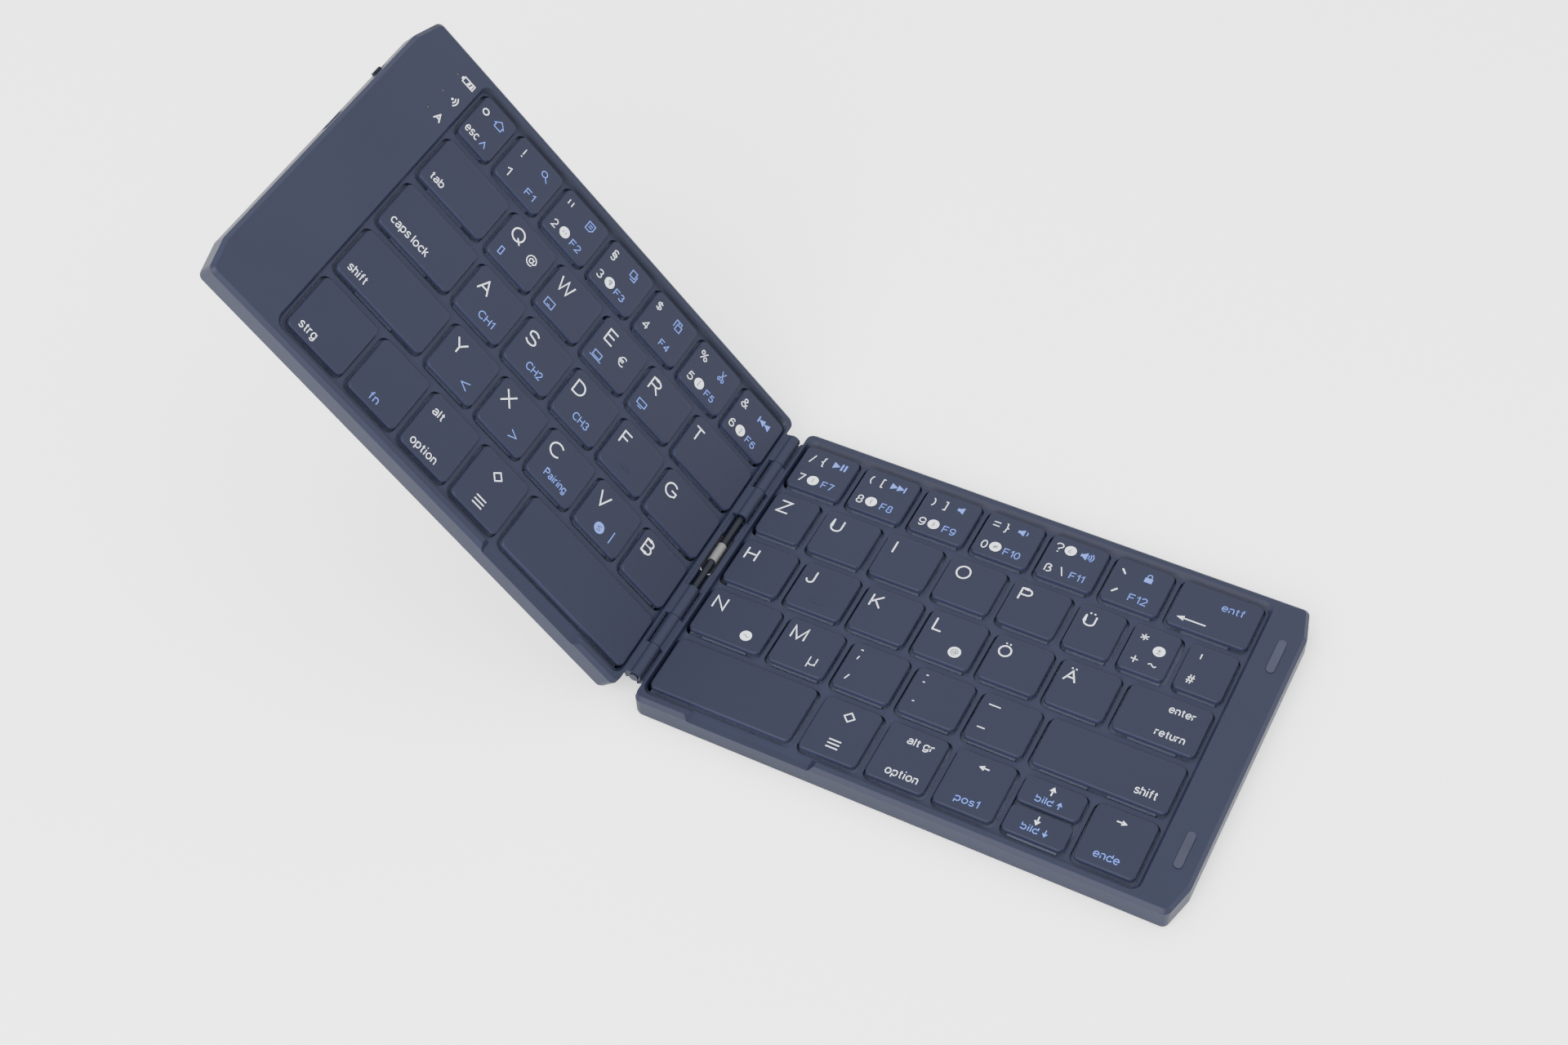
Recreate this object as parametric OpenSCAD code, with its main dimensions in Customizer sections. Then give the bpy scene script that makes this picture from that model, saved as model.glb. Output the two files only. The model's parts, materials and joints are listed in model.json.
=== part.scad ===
// Folding keyboard with a single centre hinge.
// The right half lies flat on the desk and the left half is raised about the hinge line.
// The origin is on the desk, below the middle of the whole part. X runs across, Y to the rear, Z up.

/* [Pose] */
// Angle by which the left half is raised from flat
fold_angle = 47.5; // [0:0.5:150]

/* [Case] */
// Width of one half, from the hinge line to its outer end
half_w = 146.5; // [140:0.1:170]
// Depth of the case, front to rear
half_d = 98.4; // [94:0.1:110]
// Thickness of one half, from its rim to the underside of its cover
body_t = 6.8; // [6.6:0.1:9]
// Thickness of the side walls
wall_t = 1.4; // [1:0.1:2]
// Thickness of the plain top skin beside the keys
skin_t = 1.2; // [1:0.1:1.6]
// Width of the bevel round the top edge
edge_bevel = 1.0; // [0.4:0.1:1.4]
// Corner cut at the outer end, measured across
corner_cut_x = 2.4; // [1:0.1:5]
// Corner cut at the outer end, measured front to rear
corner_cut_y = 9; // [4:0.5:14]
// Rounding of the corners
corner_r = 2; // [1:0.1:3]
// Thickness of the bottom cover
cover_t = 0.9; // [0.7:0.1:1.2]
// Gap between the cover's edge and the outline of the case
cover_inset = 0.25; // [0.1:0.05:0.6]

/* [Finger notch] */
// Middle of the notch in the front rim, from the hinge line
notch_x = 34.5; // [30:0.5:60]
// Width of the notch
notch_w = 36; // [20:1:50]
// Width of each sloping end of the notch
notch_slope = 1.6; // [0.5:0.1:3]

/* [Keys] */
// Pitch of the rows of keys, front to rear
pitch = 18; // [17.6:0.05:18.1]
// Width of the plain strip beside the keys of the right half
strip_w = 11.45; // [10.5:0.05:13]
// Gap between keys side by side
gap_x = 2.3; // [2:0.1:3]
// Gap between rows of keys
gap_y = 2.85; // [2.4:0.05:3.2]
// Depth of the keys in the front row
front_key_d = 17.4; // [15:0.1:18]
// Distance of the first key from the hinge line
first_key_x = 4.1; // [4:0.05:5]
// Height of a key cap
cap_h = 1.75; // [1.5:0.05:2]
// Thickness of a key cap's top
cap_t = 0.85; // [0.6:0.05:1]
// Thickness of a key cap's skirt
cap_skirt = 0.9; // [0.7:0.05:1.2]
// Corner radius of a key cap
cap_r = 1.5; // [0.8:0.1:2]
// Bevel round the top of a key cap
cap_bevel = 0.35; // [0.1:0.05:0.6]
// How far the key tops lie below the rim
cap_drop = 0.2; // [0.1:0.05:0.5]
// Travel of a key
key_travel = 1.5; // [1:0.1:1.6]
// Length of the bar that marks a finger key
bar_l = 3.6; // [2:0.1:5]

/* [Key well] */
// Depth of the deck below the rim
deck_drop = 1.4; // [1:0.1:1.6]
// Thickness of the deck
deck_t = 0.9; // [0.7:0.1:1.2]
// Gap between a key and the edge of its opening in the deck
key_gap = 0.55; // [0.4:0.05:0.8]
// Margin of the well outside the field of keys
well_margin = 1.25; // [1:0.05:1.6]
// Slope of the well's wall, measured across
well_slope = 0.8; // [0.2:0.1:1.2]

/* [Key works] */
// Thickness of the switch sheet under the keys
sheet_t = 0.2; // [0.15:0.05:0.4]
// Thickness of the steel key plate
plate_t = 0.4; // [0.3:0.05:0.6]
// Clearance under a key at the end of its travel
press_gap = 0.45; // [0.2:0.05:0.8]
// Thickness of a scissor link
link_t = 0.6; // [0.4:0.05:0.8]
// Width of a scissor link's bars
link_bar = 0.9; // [0.7:0.05:1.2]
// Length of a scissor link
link_l = 12; // [9:0.5:12]
// Widest that a pair of links gets
link_w_max = 12.6; // [9:0.1:13]
// Gap between a link and what it lies in or against
link_gap = 0.3; // [0.2:0.05:0.5]
// Radius of a rubber dome at its foot
dome_r = 2.6; // [1.8:0.1:3]

/* [Hinge] */
// Height of the hinge line above the rims
axis_rise = 0.6; // [0.5:0.05:1]
// Radius of the hinge barrel
barrel_r = 1.85; // [1.6:0.05:2]
// Clearance between the barrel and the half beside it
barrel_gap = 0.45; // [0.3:0.05:0.6]
// Distance of the first knuckle from the middle of the depth
knuckle_start = 13.1; // [10:0.1:16]
// Length of a knuckle with its gap
knuckle_pitch = 10.3; // [8:0.1:11]
// Gap between neighbouring knuckles
knuckle_gap = 0.15; // [0.1:0.05:0.3]
// Radius of a hinge pin
pin_r = 0.75; // [0.6:0.05:0.9]
// Clearance round a hinge pin
pin_gap = 0.04; // [0.02:0.01:0.08]
// Radius of the rod in the open middle of the hinge
rod_r = 0.95; // [0.7:0.05:1.1]
// Clearance round the rod where it enters a knuckle
rod_gap = 0.35; // [0.2:0.05:0.5]
// Length of the rod inside each knuckle
rod_seat = 2; // [1:0.5:4]
// Clearance between the barrel and the lip that curves below it
lip_gap = 0.3; // [0.2:0.05:0.5]
// Thickness of that lip
lip_t = 0.6; // [0.4:0.05:0.8]
// Length of the bright collar on the rod
collar_l = 5.8; // [3:0.1:10]
// Thickness of the collar
collar_t = 0.25; // [0.15:0.05:0.4]

/* [Left end] */
// Distance of the lamps from the outer end
lamp_x = 14.2; // [9:0.1:17]
// Distance of the first lamp from the rear edge
lamp_y = 7.5; // [6:0.1:12]
// Spacing of the lamps
lamp_pitch = 6.9; // [4:0.1:7]
// Radius of a lamp's lens
lamp_r = 0.35; // [0.25:0.05:0.6]
// Place of the power slider's slot, from the middle of the depth
slider_y = 26.6; // [22:0.1:30]
// Length of the power slider's slot
slider_slot = 4.9; // [4:0.1:7]
// Length of the slider's knob
knob_l = 2.8; // [2:0.1:3.5]
// How far the knob stands out of the case
knob_out = 0.8; // [0.4:0.1:1.5]
// Place of the charging socket, from the middle of the depth
socket_y = 5.9; // [-5:0.1:12]
// Width of the charging socket
socket_w = 7.4; // [6:0.1:9]
// Height of the charging socket
socket_h = 2.5; // [2:0.1:2.8]

/* [Right end] */
// Distance of the bumpers from the outer end
bumper_x = 5.1; // [4:0.1:7]
// Place of the bumpers, from the middle of the depth
bumper_y = 31.3; // [20:0.1:36]
// Width of a bumper
bumper_w = 2.3; // [1.5:0.1:3]
// Length of a bumper
bumper_l = 11; // [6:0.5:14]
// Length of the battery
battery_l = 48; // [30:1:50]
// Width of the battery
battery_w = 8; // [6:0.1:8]
// Height of the battery
battery_h = 3.8; // [2.5:0.1:3.9]

/* [Feet and screws] */
// Thickness of the rubber strips under each half
foot_t = 0.6; // [0.4:0.1:1.2]
// Width of a rubber strip
foot_w = 5; // [3:0.5:8]
// Distance of a rubber strip from the front or rear edge
foot_inset = 3; // [2:0.5:10]
// Radius of a case screw's shank
screw_r = 0.6; // [0.5:0.05:0.7]
// Radius of a case screw's head
screw_head_r = 1.2; // [1:0.05:1.4]
// Height of a case screw's head
screw_head_t = 0.5; // [0.3:0.05:0.6]

/* [Hidden] */

// Heights, measured from the hinge line
rim_z = -axis_rise;
cap_z = rim_z - cap_drop;
deck_z = rim_z - deck_drop;
deck_under_z = deck_z - deck_t;
skin_under_z = rim_z - skin_t;
cover_under_z = rim_z - body_t;
cover_top_z = cover_under_z + cover_t;
sheet_z = cap_z - cap_h - key_travel - press_gap;
plate_z = sheet_z - sheet_t;
plate_under_z = plate_z - plate_t;
hinge_z = -cover_under_z + foot_t;

// The outline of one half, from the hinge line outwards
hinge_side_x = barrel_r + barrel_gap;
end_reach = (half_w - cover_inset) * cos(fold_angle) - cover_under_z * sin(fold_angle);
hinge_x = -(half_w - end_reach) / 2;
cut_l = norm([corner_cut_x, corner_cut_y]);

// Widths of the keys as shares of the pitch across, each row from the hinge outwards, rear row first
left_rows = [[1, 1, 1, 1, 1, 1, 3 / 4], [11 / 8, 1, 1, 1, 1, 11 / 8], [5 / 4, 1, 1, 1, 1, 3 / 2],
    [1, 1, 1, 1, 1, 7 / 4], [21 / 8, 1, 1, 1, 9 / 8]];
right_rows = [[1, 1, 1, 1, 1, 1, 4 / 3], [0.86, 1, 1, 1, 1, 0.83, 0.83, 0.81], [1, 1, 1, 1, 1, 1, 4 / 3],
    [5 / 4, 1, 1, 1, 1, 25 / 12], [7 / 3, 1, 1, 1, 1, 1]];
front_row = 4;
arrow_pair = 4;
arrow_split = 1.1;
wide_key = 30;
key_d = pitch - gap_y;
field_d = front_row * pitch + front_key_d;
bar_inset = 3.4;
bar_w = 0.5;
bar_h = 0.2;

// Small sizes that several pieces share
touch = 0.02;
fit_gap = 0.05;
side_gap = 0.3;
through = 1;
smooth = 48;
arc_steps = 4;

row_shares = sum_to(right_rows[0], len(right_rows[0]));
pitch_x = (half_w - strip_w - well_margin - first_key_x + gap_x) / row_shares;
lamp_at = half_w - lamp_x;
first_lamp_y = half_d / 2 - lamp_y;
bumper_at = half_w - bumper_x;

function sum_to(v, n) = n <= 0 ? 0 : v[n - 1] + sum_to(v, n - 1);
function key_x(rows, r, i) = first_key_x + pitch_x * sum_to(rows[r], i);
function key_w(rows, r, i) = pitch_x * rows[r][i] - gap_x;
function row_d(r) = r == front_row ? front_key_d : key_d;
function row_y(r) = field_d / 2 - r * pitch - row_d(r) / 2;
function field_end(rows) = key_x(rows, 0, len(rows[0])) - gap_x;
function is_pair(rows, r, i) = rows == right_rows && r == front_row && i == arrow_pair;

// Rounds each corner of an outline: the list holds [x, y, radius] corners in order round it
function rounded(c) = [for (i = [0 : len(c) - 1])
    let (p = [c[i][0], c[i][1]], n = len(c), a = c[(i + n - 1) % n], b = c[(i + 1) % n],
        u = [a[0], a[1]] - p, v = [b[0], b[1]] - p, du = u / norm(u), dv = v / norm(v),
        half = acos(du * dv) / 2, cut = c[i][2] / tan(half), centre = p + (du + dv) / norm(du + dv) * c[i][2] / sin(half),
        s = p + du * cut - centre, e = p + dv * cut - centre, sweep = 2 * (90 - half), turn = s[0] * e[1] - s[1] * e[0] > 0 ? 1 : -1)
    each c[i][2] <= 0 ? [p] : [for (k = [0 : arc_steps])
        let (t = turn * sweep * k / arc_steps) centre + [s[0] * cos(t) - s[1] * sin(t), s[0] * sin(t) + s[1] * cos(t)]]];

// A rectangle with round corners, from its lowest corner
function box_points(x, y, w, d, r) = rounded([[x, y, r], [x + w, y, r], [x + w, y + d, r], [x, y + d, r]]);

// The outline of a half, drawn in by an inset, and by another at the hinge side
function case_points(inset, hinge_inset) =
    let (x0 = hinge_side_x + hinge_inset, x1 = half_w - inset, y1 = half_d / 2 - inset,
        ya = half_d / 2 - corner_cut_y - inset * (cut_l - corner_cut_y) / corner_cut_x,
        xb = half_w - corner_cut_x - inset * (cut_l - corner_cut_x) / corner_cut_y,
        r = max(corner_r - inset, corner_r / 4), rh = max(corner_r - hinge_inset, corner_r / 4))
    rounded([[x0, -y1, rh], [xb, -y1, r], [x1, -ya, r], [x1, ya, r], [xb, y1, r], [x0, y1, rh]]);

// Places the parts of a half, drawn from the hinge line outwards, where that half lies
module on_right() {
    translate([hinge_x, 0, hinge_z]) children();
}
module on_left() {
    translate([hinge_x, 0, hinge_z]) rotate([0, fold_angle, 0]) mirror([1, 0, 0]) children();
}

// A plate of the case's outline between two heights
module case_slab(z0, z1, inset, hinge_inset) {
    translate([0, 0, z0]) linear_extrude(z1 - z0) polygon(case_points(inset, hinge_inset));
}

// A rod along Y, between two distances from the middle of the depth
module y_rod(y0, y1, r) {
    translate([0, y0, 0]) rotate([-90, 0, 0]) cylinder(h = y1 - y0, r = r, $fn = smooth);
}

// Screw places of one half: between rows of keys, and clear of every key
function screw_places(rows) = [for (x = [first_key_x + pitch_x / 2, field_end(rows) / 2, field_end(rows) - pitch_x / 2])
    for (r = [0, 3]) [x, row_y(r) - row_d(r) / 2 - gap_y / 2]];
boss_r = screw_r + 0.5;
boss_hole_r = boss_r + side_gap;

/* The key wells, the deck and the shell of each half */

module key_openings(rows) {
    for (r = [0 : len(rows) - 1])
        for (i = [0 : len(rows[r]) - 1])
            polygon(box_points(key_x(rows, r, i) - key_gap, row_y(r) - row_d(r) / 2 - key_gap,
                key_w(rows, r, i) + 2 * key_gap, row_d(r) + 2 * key_gap, cap_r + key_gap));
}

module well_slab(rows, grow, z0, z1) {
    x0 = first_key_x - key_gap - grow / 3;
    translate([0, 0, z0]) linear_extrude(z1 - z0)
        polygon(box_points(x0, -field_d / 2 - well_margin - grow,
            field_end(rows) + well_margin + grow - x0, field_d + 2 * (well_margin + grow), cap_r + well_margin));
}

module well_cut(rows) {
    hull() {
        well_slab(rows, 0, deck_z, deck_z + touch);
        well_slab(rows, well_slope, rim_z, rim_z + touch);
    }
}

// The notch in the front rim, where a finger lifts the closed halves apart
module notch_cut() {
    half_floor = notch_w / 2 - notch_slope;
    translate([notch_x, -field_d / 2 - well_margin, 0]) rotate([90, 0, 0]) linear_extrude(half_d)
        polygon([[-half_floor, deck_z], [half_floor, deck_z], [notch_w / 2, rim_z + touch], [-notch_w / 2, rim_z + touch]]);
}

module shell(rows) {
    wall_in = wall_t;
    well_end = field_end(rows) + well_margin;
    difference() {
        hull() {
            case_slab(cover_top_z, rim_z - edge_bevel, 0, 0);
            case_slab(rim_z - touch, rim_z, edge_bevel, edge_bevel / 4);
        }
        well_cut(rows);
        notch_cut();
        // The room under the deck
        translate([0, 0, cover_top_z - through])
            linear_extrude(deck_under_z - cover_top_z + through) intersection() {
                polygon(case_points(wall_in, wall_in - 0.2));
                translate([0, -half_d / 2]) square([well_end + wall_in, half_d]);
            }
        // The taller room beside the keys
        translate([0, 0, cover_top_z - through])
            linear_extrude(skin_under_z - cover_top_z + through) intersection() {
                polygon(case_points(wall_in, wall_in));
                translate([well_end + wall_in, -half_d / 2]) square([half_w, half_d]);
            }
        translate([0, 0, deck_under_z - through]) linear_extrude(deck_t + 2 * through) key_openings(rows);
    }
    // Bosses that the case screws bite into
    for (p = screw_places(rows)) translate([p[0], p[1], cover_top_z]) difference() {
        cylinder(h = deck_under_z + touch - cover_top_z, r = boss_r, $fn = smooth);
        translate([0, 0, -through]) cylinder(h = screw_bite + through + fit_gap, r = screw_r + pin_gap, $fn = smooth);
    }
}
screw_bite = deck_under_z - cover_top_z - 0.6;

/* The hinge */

// Start and end of knuckle number k, counted from the middle of the depth
function knuckle_from(k) = knuckle_start + k * knuckle_pitch + knuckle_gap / 2;
function knuckle_to(k) = knuckle_start + (k + 1) * knuckle_pitch - knuckle_gap / 2;
barrel_end = knuckle_to(2);

// One knuckle with the arm that joins it to its half
module knuckle(k) {
    arm_top = [barrel_r * 0.35, barrel_r * 0.93];
    for (side = [-1, 1]) {
        y0 = side > 0 ? knuckle_from(k) : -knuckle_to(k);
        y1 = side > 0 ? knuckle_to(k) : -knuckle_from(k);
        y_rod(y0, y1, barrel_r);
        translate([0, y1, 0]) rotate([90, 0, 0]) linear_extrude(y1 - y0)
            polygon([arm_top, [hinge_side_x + wall_t / 4, rim_z - touch], [hinge_side_x + wall_t / 4, -barrel_r - 0.6],
                [0, -barrel_r * 0.99], [0, 0]]);
    }
}

// Sizes of the flat cable that joins the halves
cable_t = 0.15;
cable_w = 12;
cable_hole_h = 1;
cable_z = deck_under_z - 1;
cable_r = rod_r + link_gap + cable_t;
cable_lead = first_key_x + cap_skirt - hinge_side_x;

// The lip that curves below the barrel and the rod, from the wall inwards, with a window for the flat cable
lip_top = rim_z - 0.1;
lip_sweep = 78;
lip_steps = 8;
lip_back_x = hinge_side_x + wall_t / 4;
lip_outer_r = barrel_r + lip_gap + lip_t;
cable_window = cable_w / 2 + side_gap;
function lip_arc(r, a0, a1) = [for (k = [0 : lip_steps]) let (a = a0 + (a1 - a0) * k / lip_steps) [r * cos(a), -r * sin(a)]];
module lip(y0, y1, r) {
    for (side = [-1, 1]) translate([0, side > 0 ? y1 : -y0, 0]) rotate([90, 0, 0]) linear_extrude(y1 - y0)
        polygon(concat([[lip_back_x, lip_top]], lip_arc(r, asin(-lip_top / r), lip_sweep),
            lip_arc(lip_outer_r, lip_sweep, acos(lip_back_x / lip_outer_r))));
}
module lips() {
    lip(knuckle_start, barrel_end, barrel_r + lip_gap);
    lip(cable_window, knuckle_start - knuckle_gap, rod_r + rod_gap + lip_gap);
    // The edge beside the flat cable's window
    translate([cable_edge_x, -cable_window, rim_z - cable_edge_h])
        cube([lip_back_x - cable_edge_x, 2 * cable_window, cable_edge_h]);
}
cable_edge_h = 0.35;
cable_edge_x = cable_r + cable_edge_h;

// The bores through every knuckle of one half
module hinge_bores() {
    y_rod(-half_d / 2 - through, half_d / 2 + through, pin_r + pin_gap);
}

module hinge_pins() {
    color("silver") on_right() for (side = [-1, 1]) {
        y0 = side > 0 ? knuckle_start + rod_seat + fit_gap : -barrel_end;
        y_rod(y0, y0 + barrel_end - knuckle_start - rod_seat - fit_gap, pin_r);
        // A thin head keeps the pin in
        head_y = side > 0 ? barrel_end + fit_gap : -barrel_end - fit_gap - pin_head_t;
        y_rod(head_y, head_y + pin_head_t, pin_head_r);
        neck_y = side > 0 ? barrel_end - touch : -barrel_end - fit_gap - touch;
        y_rod(neck_y, neck_y + fit_gap + 2 * touch, pin_r);
    }
}
pin_head_t = 0.4;
pin_head_r = 1.2;
rod_end = knuckle_start + rod_seat - fit_gap;

module hinge_rod() {
    color("dimgray") on_right() y_rod(-rod_end, rod_end, rod_r);
}

module hinge_collar() {
    color("lightgray") on_right() difference() {
        y_rod(-collar_l / 2, collar_l / 2, rod_r + pin_gap / 2 + collar_t);
        y_rod(-collar_l / 2 - through, collar_l / 2 + through, rod_r + pin_gap / 2);
    }
}

// The flat cable runs out of one wall, down round the rod and into the other wall
function cable_side(away) = [[hinge_side_x + cable_lead, cable_z], [hinge_side_x, cable_z],
    [hinge_side_x - barrel_gap * 0.7, cable_z + 0.4], [hinge_side_x - barrel_gap, cable_z + 1.4 - away],
    [cable_r, -rod_r]];
function turned(p, a) = [p[0] * cos(a) + p[1] * sin(a), p[1] * cos(a) - p[0] * sin(a)];
cable_arc_from = -atan2(rod_r, cable_r) - 14;
cable_arc_to = -180 - fold_angle - cable_arc_from;
cable_steps = 8;
cable_path = concat(cable_side(0),
    [for (k = [1 : cable_steps - 1]) let (a = cable_arc_from + (cable_arc_to - cable_arc_from) * k / cable_steps)
        cable_r * [cos(a), sin(a)]],
    [for (i = [4 : -1 : 0]) let (p = cable_side(0)[i]) turned([-p[0], p[1]], fold_angle)]);
function along(path, i) = let (a = path[max(i - 1, 0)], b = path[min(i + 1, len(path) - 1)]) (b - a) / norm(b - a);
function beside(path, d) = [for (i = [0 : len(path) - 1]) let (t = along(path, i)) path[i] + d * [-t[1], t[0]]];

module flex_cable() {
    last = len(cable_path) - 1;
    outer = beside(cable_path, cable_t / 2);
    inner = beside(cable_path, -cable_t / 2);
    color("darkorange") on_right() translate([0, cable_w / 2, 0]) rotate([90, 0, 0]) linear_extrude(cable_w)
        polygon(concat(outer, [for (i = [last : -1 : 0]) inner[i]]));
}

// The slot through the hinge-side wall for the flat cable, and the open middle of the hinge
module cable_slot() {
    translate([hinge_side_x - through, -cable_w / 2 - side_gap, cable_z - cable_hole_h / 2])
        cube([wall_t + 2 * through, cable_w + 2 * side_gap, cable_hole_h]);
}

/* Frames and covers */

module right_top_frame() {
    color("slategray") on_right() difference() {
        union() {
            shell(right_rows);
            knuckle(1);
            lips();
        }
        hinge_bores();
        cable_slot();
        for (y = [-bumper_y, bumper_y]) translate([bumper_at, y, rim_z - bumper_seat])
            linear_extrude(bumper_seat + through) stadium(bumper_w, bumper_l);
    }
}

module left_top_frame() {
    color("slategray") on_left() difference() {
        union() {
            shell(left_rows);
            knuckle(0);
            knuckle(2);
            lips();
        }
        hinge_bores();
        y_rod(-knuckle_start - rod_seat, knuckle_start + rod_seat, rod_r + rod_gap);
        cable_slot();
        for (i = [0 : 2]) translate([lamp_at, first_lamp_y - i * lamp_pitch, skin_under_z - through])
            cylinder(h = skin_t + 2 * through, r = lamp_r + fit_gap, $fn = smooth);
        // The openings in the end wall for the slider and the socket
        translate([half_w - wall_t - through, slider_y - slider_slot / 2, board_z + knob_z - knob_h / 2 - fit_gap])
            cube([wall_t + 2 * through, slider_slot, knob_h + 2 * fit_gap]);
        translate([half_w - wall_t - through, socket_y - socket_w / 2 - fit_gap, board_z - fit_gap])
            cube([wall_t + 2 * through, socket_w + 2 * fit_gap, socket_h + 2 * fit_gap]);
    }
}

bumper_seat = 0.6;
bumper_proud = 0.15;
module stadium(w, l) {
    square([w, l - w], center = true);
    for (s = [-1, 1]) translate([0, s * (l - w) / 2]) circle(r = w / 2, $fn = smooth);
}

module right_bumpers() {
    color("darkslategray") on_right() for (y = [-bumper_y, bumper_y])
        translate([bumper_at, y, rim_z - bumper_seat]) linear_extrude(bumper_seat + bumper_proud)
            stadium(bumper_w - 2 * fit_gap, bumper_l - 2 * fit_gap);
}

magnet_l = 6;
magnet_w = 2;
magnet_t = 1;
module magnets() {
    for (y = [-bumper_y, bumper_y])
        translate([bumper_at - magnet_w / 2, y - magnet_l / 2, skin_under_z - magnet_t]) cube([magnet_w, magnet_l, magnet_t]);
}
module right_magnets() {
    color("silver") on_right() magnets();
}
module left_magnets() {
    color("silver") on_left() magnets();
}

// The cover has ribs that hold the key plate up, and countersunk screw holes
rib_t = 1;
rib_rows = [-36, -12, 12, 36];
module bottom_cover(rows) {
    difference() {
        union() {
            case_slab(cover_under_z, cover_top_z, cover_inset, cover_inset);
            for (y = rib_rows) translate([first_key_x, y - rib_t / 2, cover_top_z - touch])
                cube([field_end(rows) - first_key_x, rib_t, plate_under_z - cover_top_z + touch]);
        }
        for (p = screw_places(rows)) translate([p[0], p[1], cover_under_z - through]) {
            cylinder(h = cover_t + 2 * through, r = screw_r + fit_gap, $fn = smooth);
            cylinder(h = through + screw_head_t + fit_gap, r = screw_head_r + fit_gap, $fn = smooth);
        }
    }
}
module right_bottom_cover() {
    color("darkslategray") on_right() bottom_cover(right_rows);
}
module left_bottom_cover() {
    color("darkslategray") on_left() union() {
        bottom_cover(left_rows);
        // Posts under the controller board
        for (x = [board_x + post_in, board_to - 2 * post_in], y = [board_y + post_in, board_rear - post_in])
            translate([x, y, cover_top_z - touch]) cylinder(h = board_under_z - cover_top_z + touch, r = post_r, $fn = smooth);
    }
}

module case_screws(rows) {
    for (p = screw_places(rows)) translate([p[0], p[1], cover_under_z]) {
        cylinder(h = screw_head_t, r = screw_head_r, $fn = smooth);
        cylinder(h = cover_t + screw_bite, r = screw_r, $fn = smooth);
    }
}
module right_case_screws() {
    color("dimgray") on_right() case_screws(right_rows);
}
module left_case_screws() {
    color("dimgray") on_left() case_screws(left_rows);
}

foot_from = hinge_side_x + 1.7;
foot_to = half_w - corner_cut_x - 6;
module foot_strips() {
    for (s = [-1, 1]) translate([(foot_from + foot_to) / 2, s * (half_d / 2 - foot_inset - foot_w / 2), cover_under_z - foot_t])
        linear_extrude(foot_t) rotate(90) stadium(foot_w, foot_to - foot_from);
}
module right_foot_strips() {
    color("black") on_right() foot_strips();
}
module left_foot_strips() {
    color("black") on_left() foot_strips();
}

/* What works under the keys */

module under_keys(rows, z, t) {
    x0 = hinge_side_x + wall_t + side_gap;
    translate([0, 0, z - t]) linear_extrude(t) difference() {
        polygon(box_points(x0, -half_d / 2 + wall_t + side_gap, field_end(rows) + well_margin - x0,
            half_d - 2 * (wall_t + side_gap), cap_r));
        for (p = screw_places(rows)) translate(p) circle(r = boss_hole_r, $fn = smooth);
    }
}
module right_key_plate() {
    color("silver") on_right() under_keys(right_rows, plate_z, plate_t);
}
module left_key_plate() {
    color("silver") on_left() under_keys(left_rows, plate_z, plate_t);
}
module right_switch_sheet() {
    color("lightsteelblue") on_right() under_keys(right_rows, sheet_z, sheet_t);
}
module left_switch_sheet() {
    color("lightsteelblue") on_left() under_keys(left_rows, sheet_z, sheet_t);
}

// Runs its children once at the middle of each switch of a half: wide keys have two, the arrow pair one each
module at_switches(rows) {
    for (r = [0 : len(rows) - 1])
        for (i = [0 : len(rows[r]) - 1]) {
            w = key_w(rows, r, i);
            x = key_x(rows, r, i) + w / 2;
            pair = is_pair(rows, r, i);
            d = pair ? (row_d(r) - arrow_split) / 2 : row_d(r);
            n = w > wide_key ? 2 : 1;
            for (s = [0 : n - 1])
                for (h = pair ? [-1, 1] : [0]) {
                    $sw = min(link_w_max, w / n - 2 * cap_skirt - 2 * link_gap);
                    $sd = min(link_l, d - 2 * cap_skirt - 2 * link_gap);
                    translate([x + (s - (n - 1) / 2) * w / 2, row_y(r) + h * (d + arrow_split) / 2, 0]) children();
                }
        }
}

// One link of a scissor: a flat frame of four bars
module link_frame(w, d) {
    linear_extrude(link_t) difference() {
        square([w, d], center = true);
        square([w - 2 * link_bar, d - 2 * link_bar], center = true);
    }
}

// Two crossed links, from the sheet up to the underside of the cap
works_h = cap_z - cap_t - sheet_z;
module scissor(w, d) {
    inner_d = d - 1.6;
    inner_w = w - 2 * link_bar - 2 * link_gap;
    rise = asin((works_h - link_t - 2 * fit_gap) / d);
    translate([0, 0, sheet_z + works_h / 2]) {
        rotate([rise, 0, 0]) translate([0, 0, -link_t / 2]) link_frame(w, d);
        rotate([-rise, 0, 0]) translate([0, 0, -link_t / 2]) link_frame(inner_w, inner_d);
        // Pivots between the two links
        for (s = [-1, 1]) translate([s * (inner_w / 2 + (link_gap - fit_gap) / 2), 0, 0]) rotate([0, 90, 0])
            cylinder(h = link_gap - fit_gap, r = link_t / 2 - fit_gap, center = true, $fn = smooth / 2);
    }
}
module right_scissor_links() {
    color("gainsboro") on_right() at_switches(right_rows) scissor($sw, $sd);
}
module left_scissor_links() {
    color("gainsboro") on_left() at_switches(left_rows) scissor($sw, $sd);
}

module dome(d) {
    r = min(dome_r, d / 2 - 2 * link_bar - 0.2);
    h = works_h - fit_gap;
    translate([0, 0, sheet_z]) rotate_extrude($fn = smooth)
        polygon([[0, 0], [r, 0], [r, h * 0.2], [r * 0.6, h * 0.75], [r * 0.6, h], [0, h]]);
}
module right_rubber_domes() {
    color("white") on_right() at_switches(right_rows) dome($sd);
}
module left_rubber_domes() {
    color("white") on_left() at_switches(left_rows) dome($sd);
}

/* Electrical pieces */

module battery() {
    color("gray") on_right() translate([half_w - wall_t - side_gap - battery_w, -battery_l / 2, cover_top_z])
        cube([battery_w, battery_l, battery_h]);
}

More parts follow.
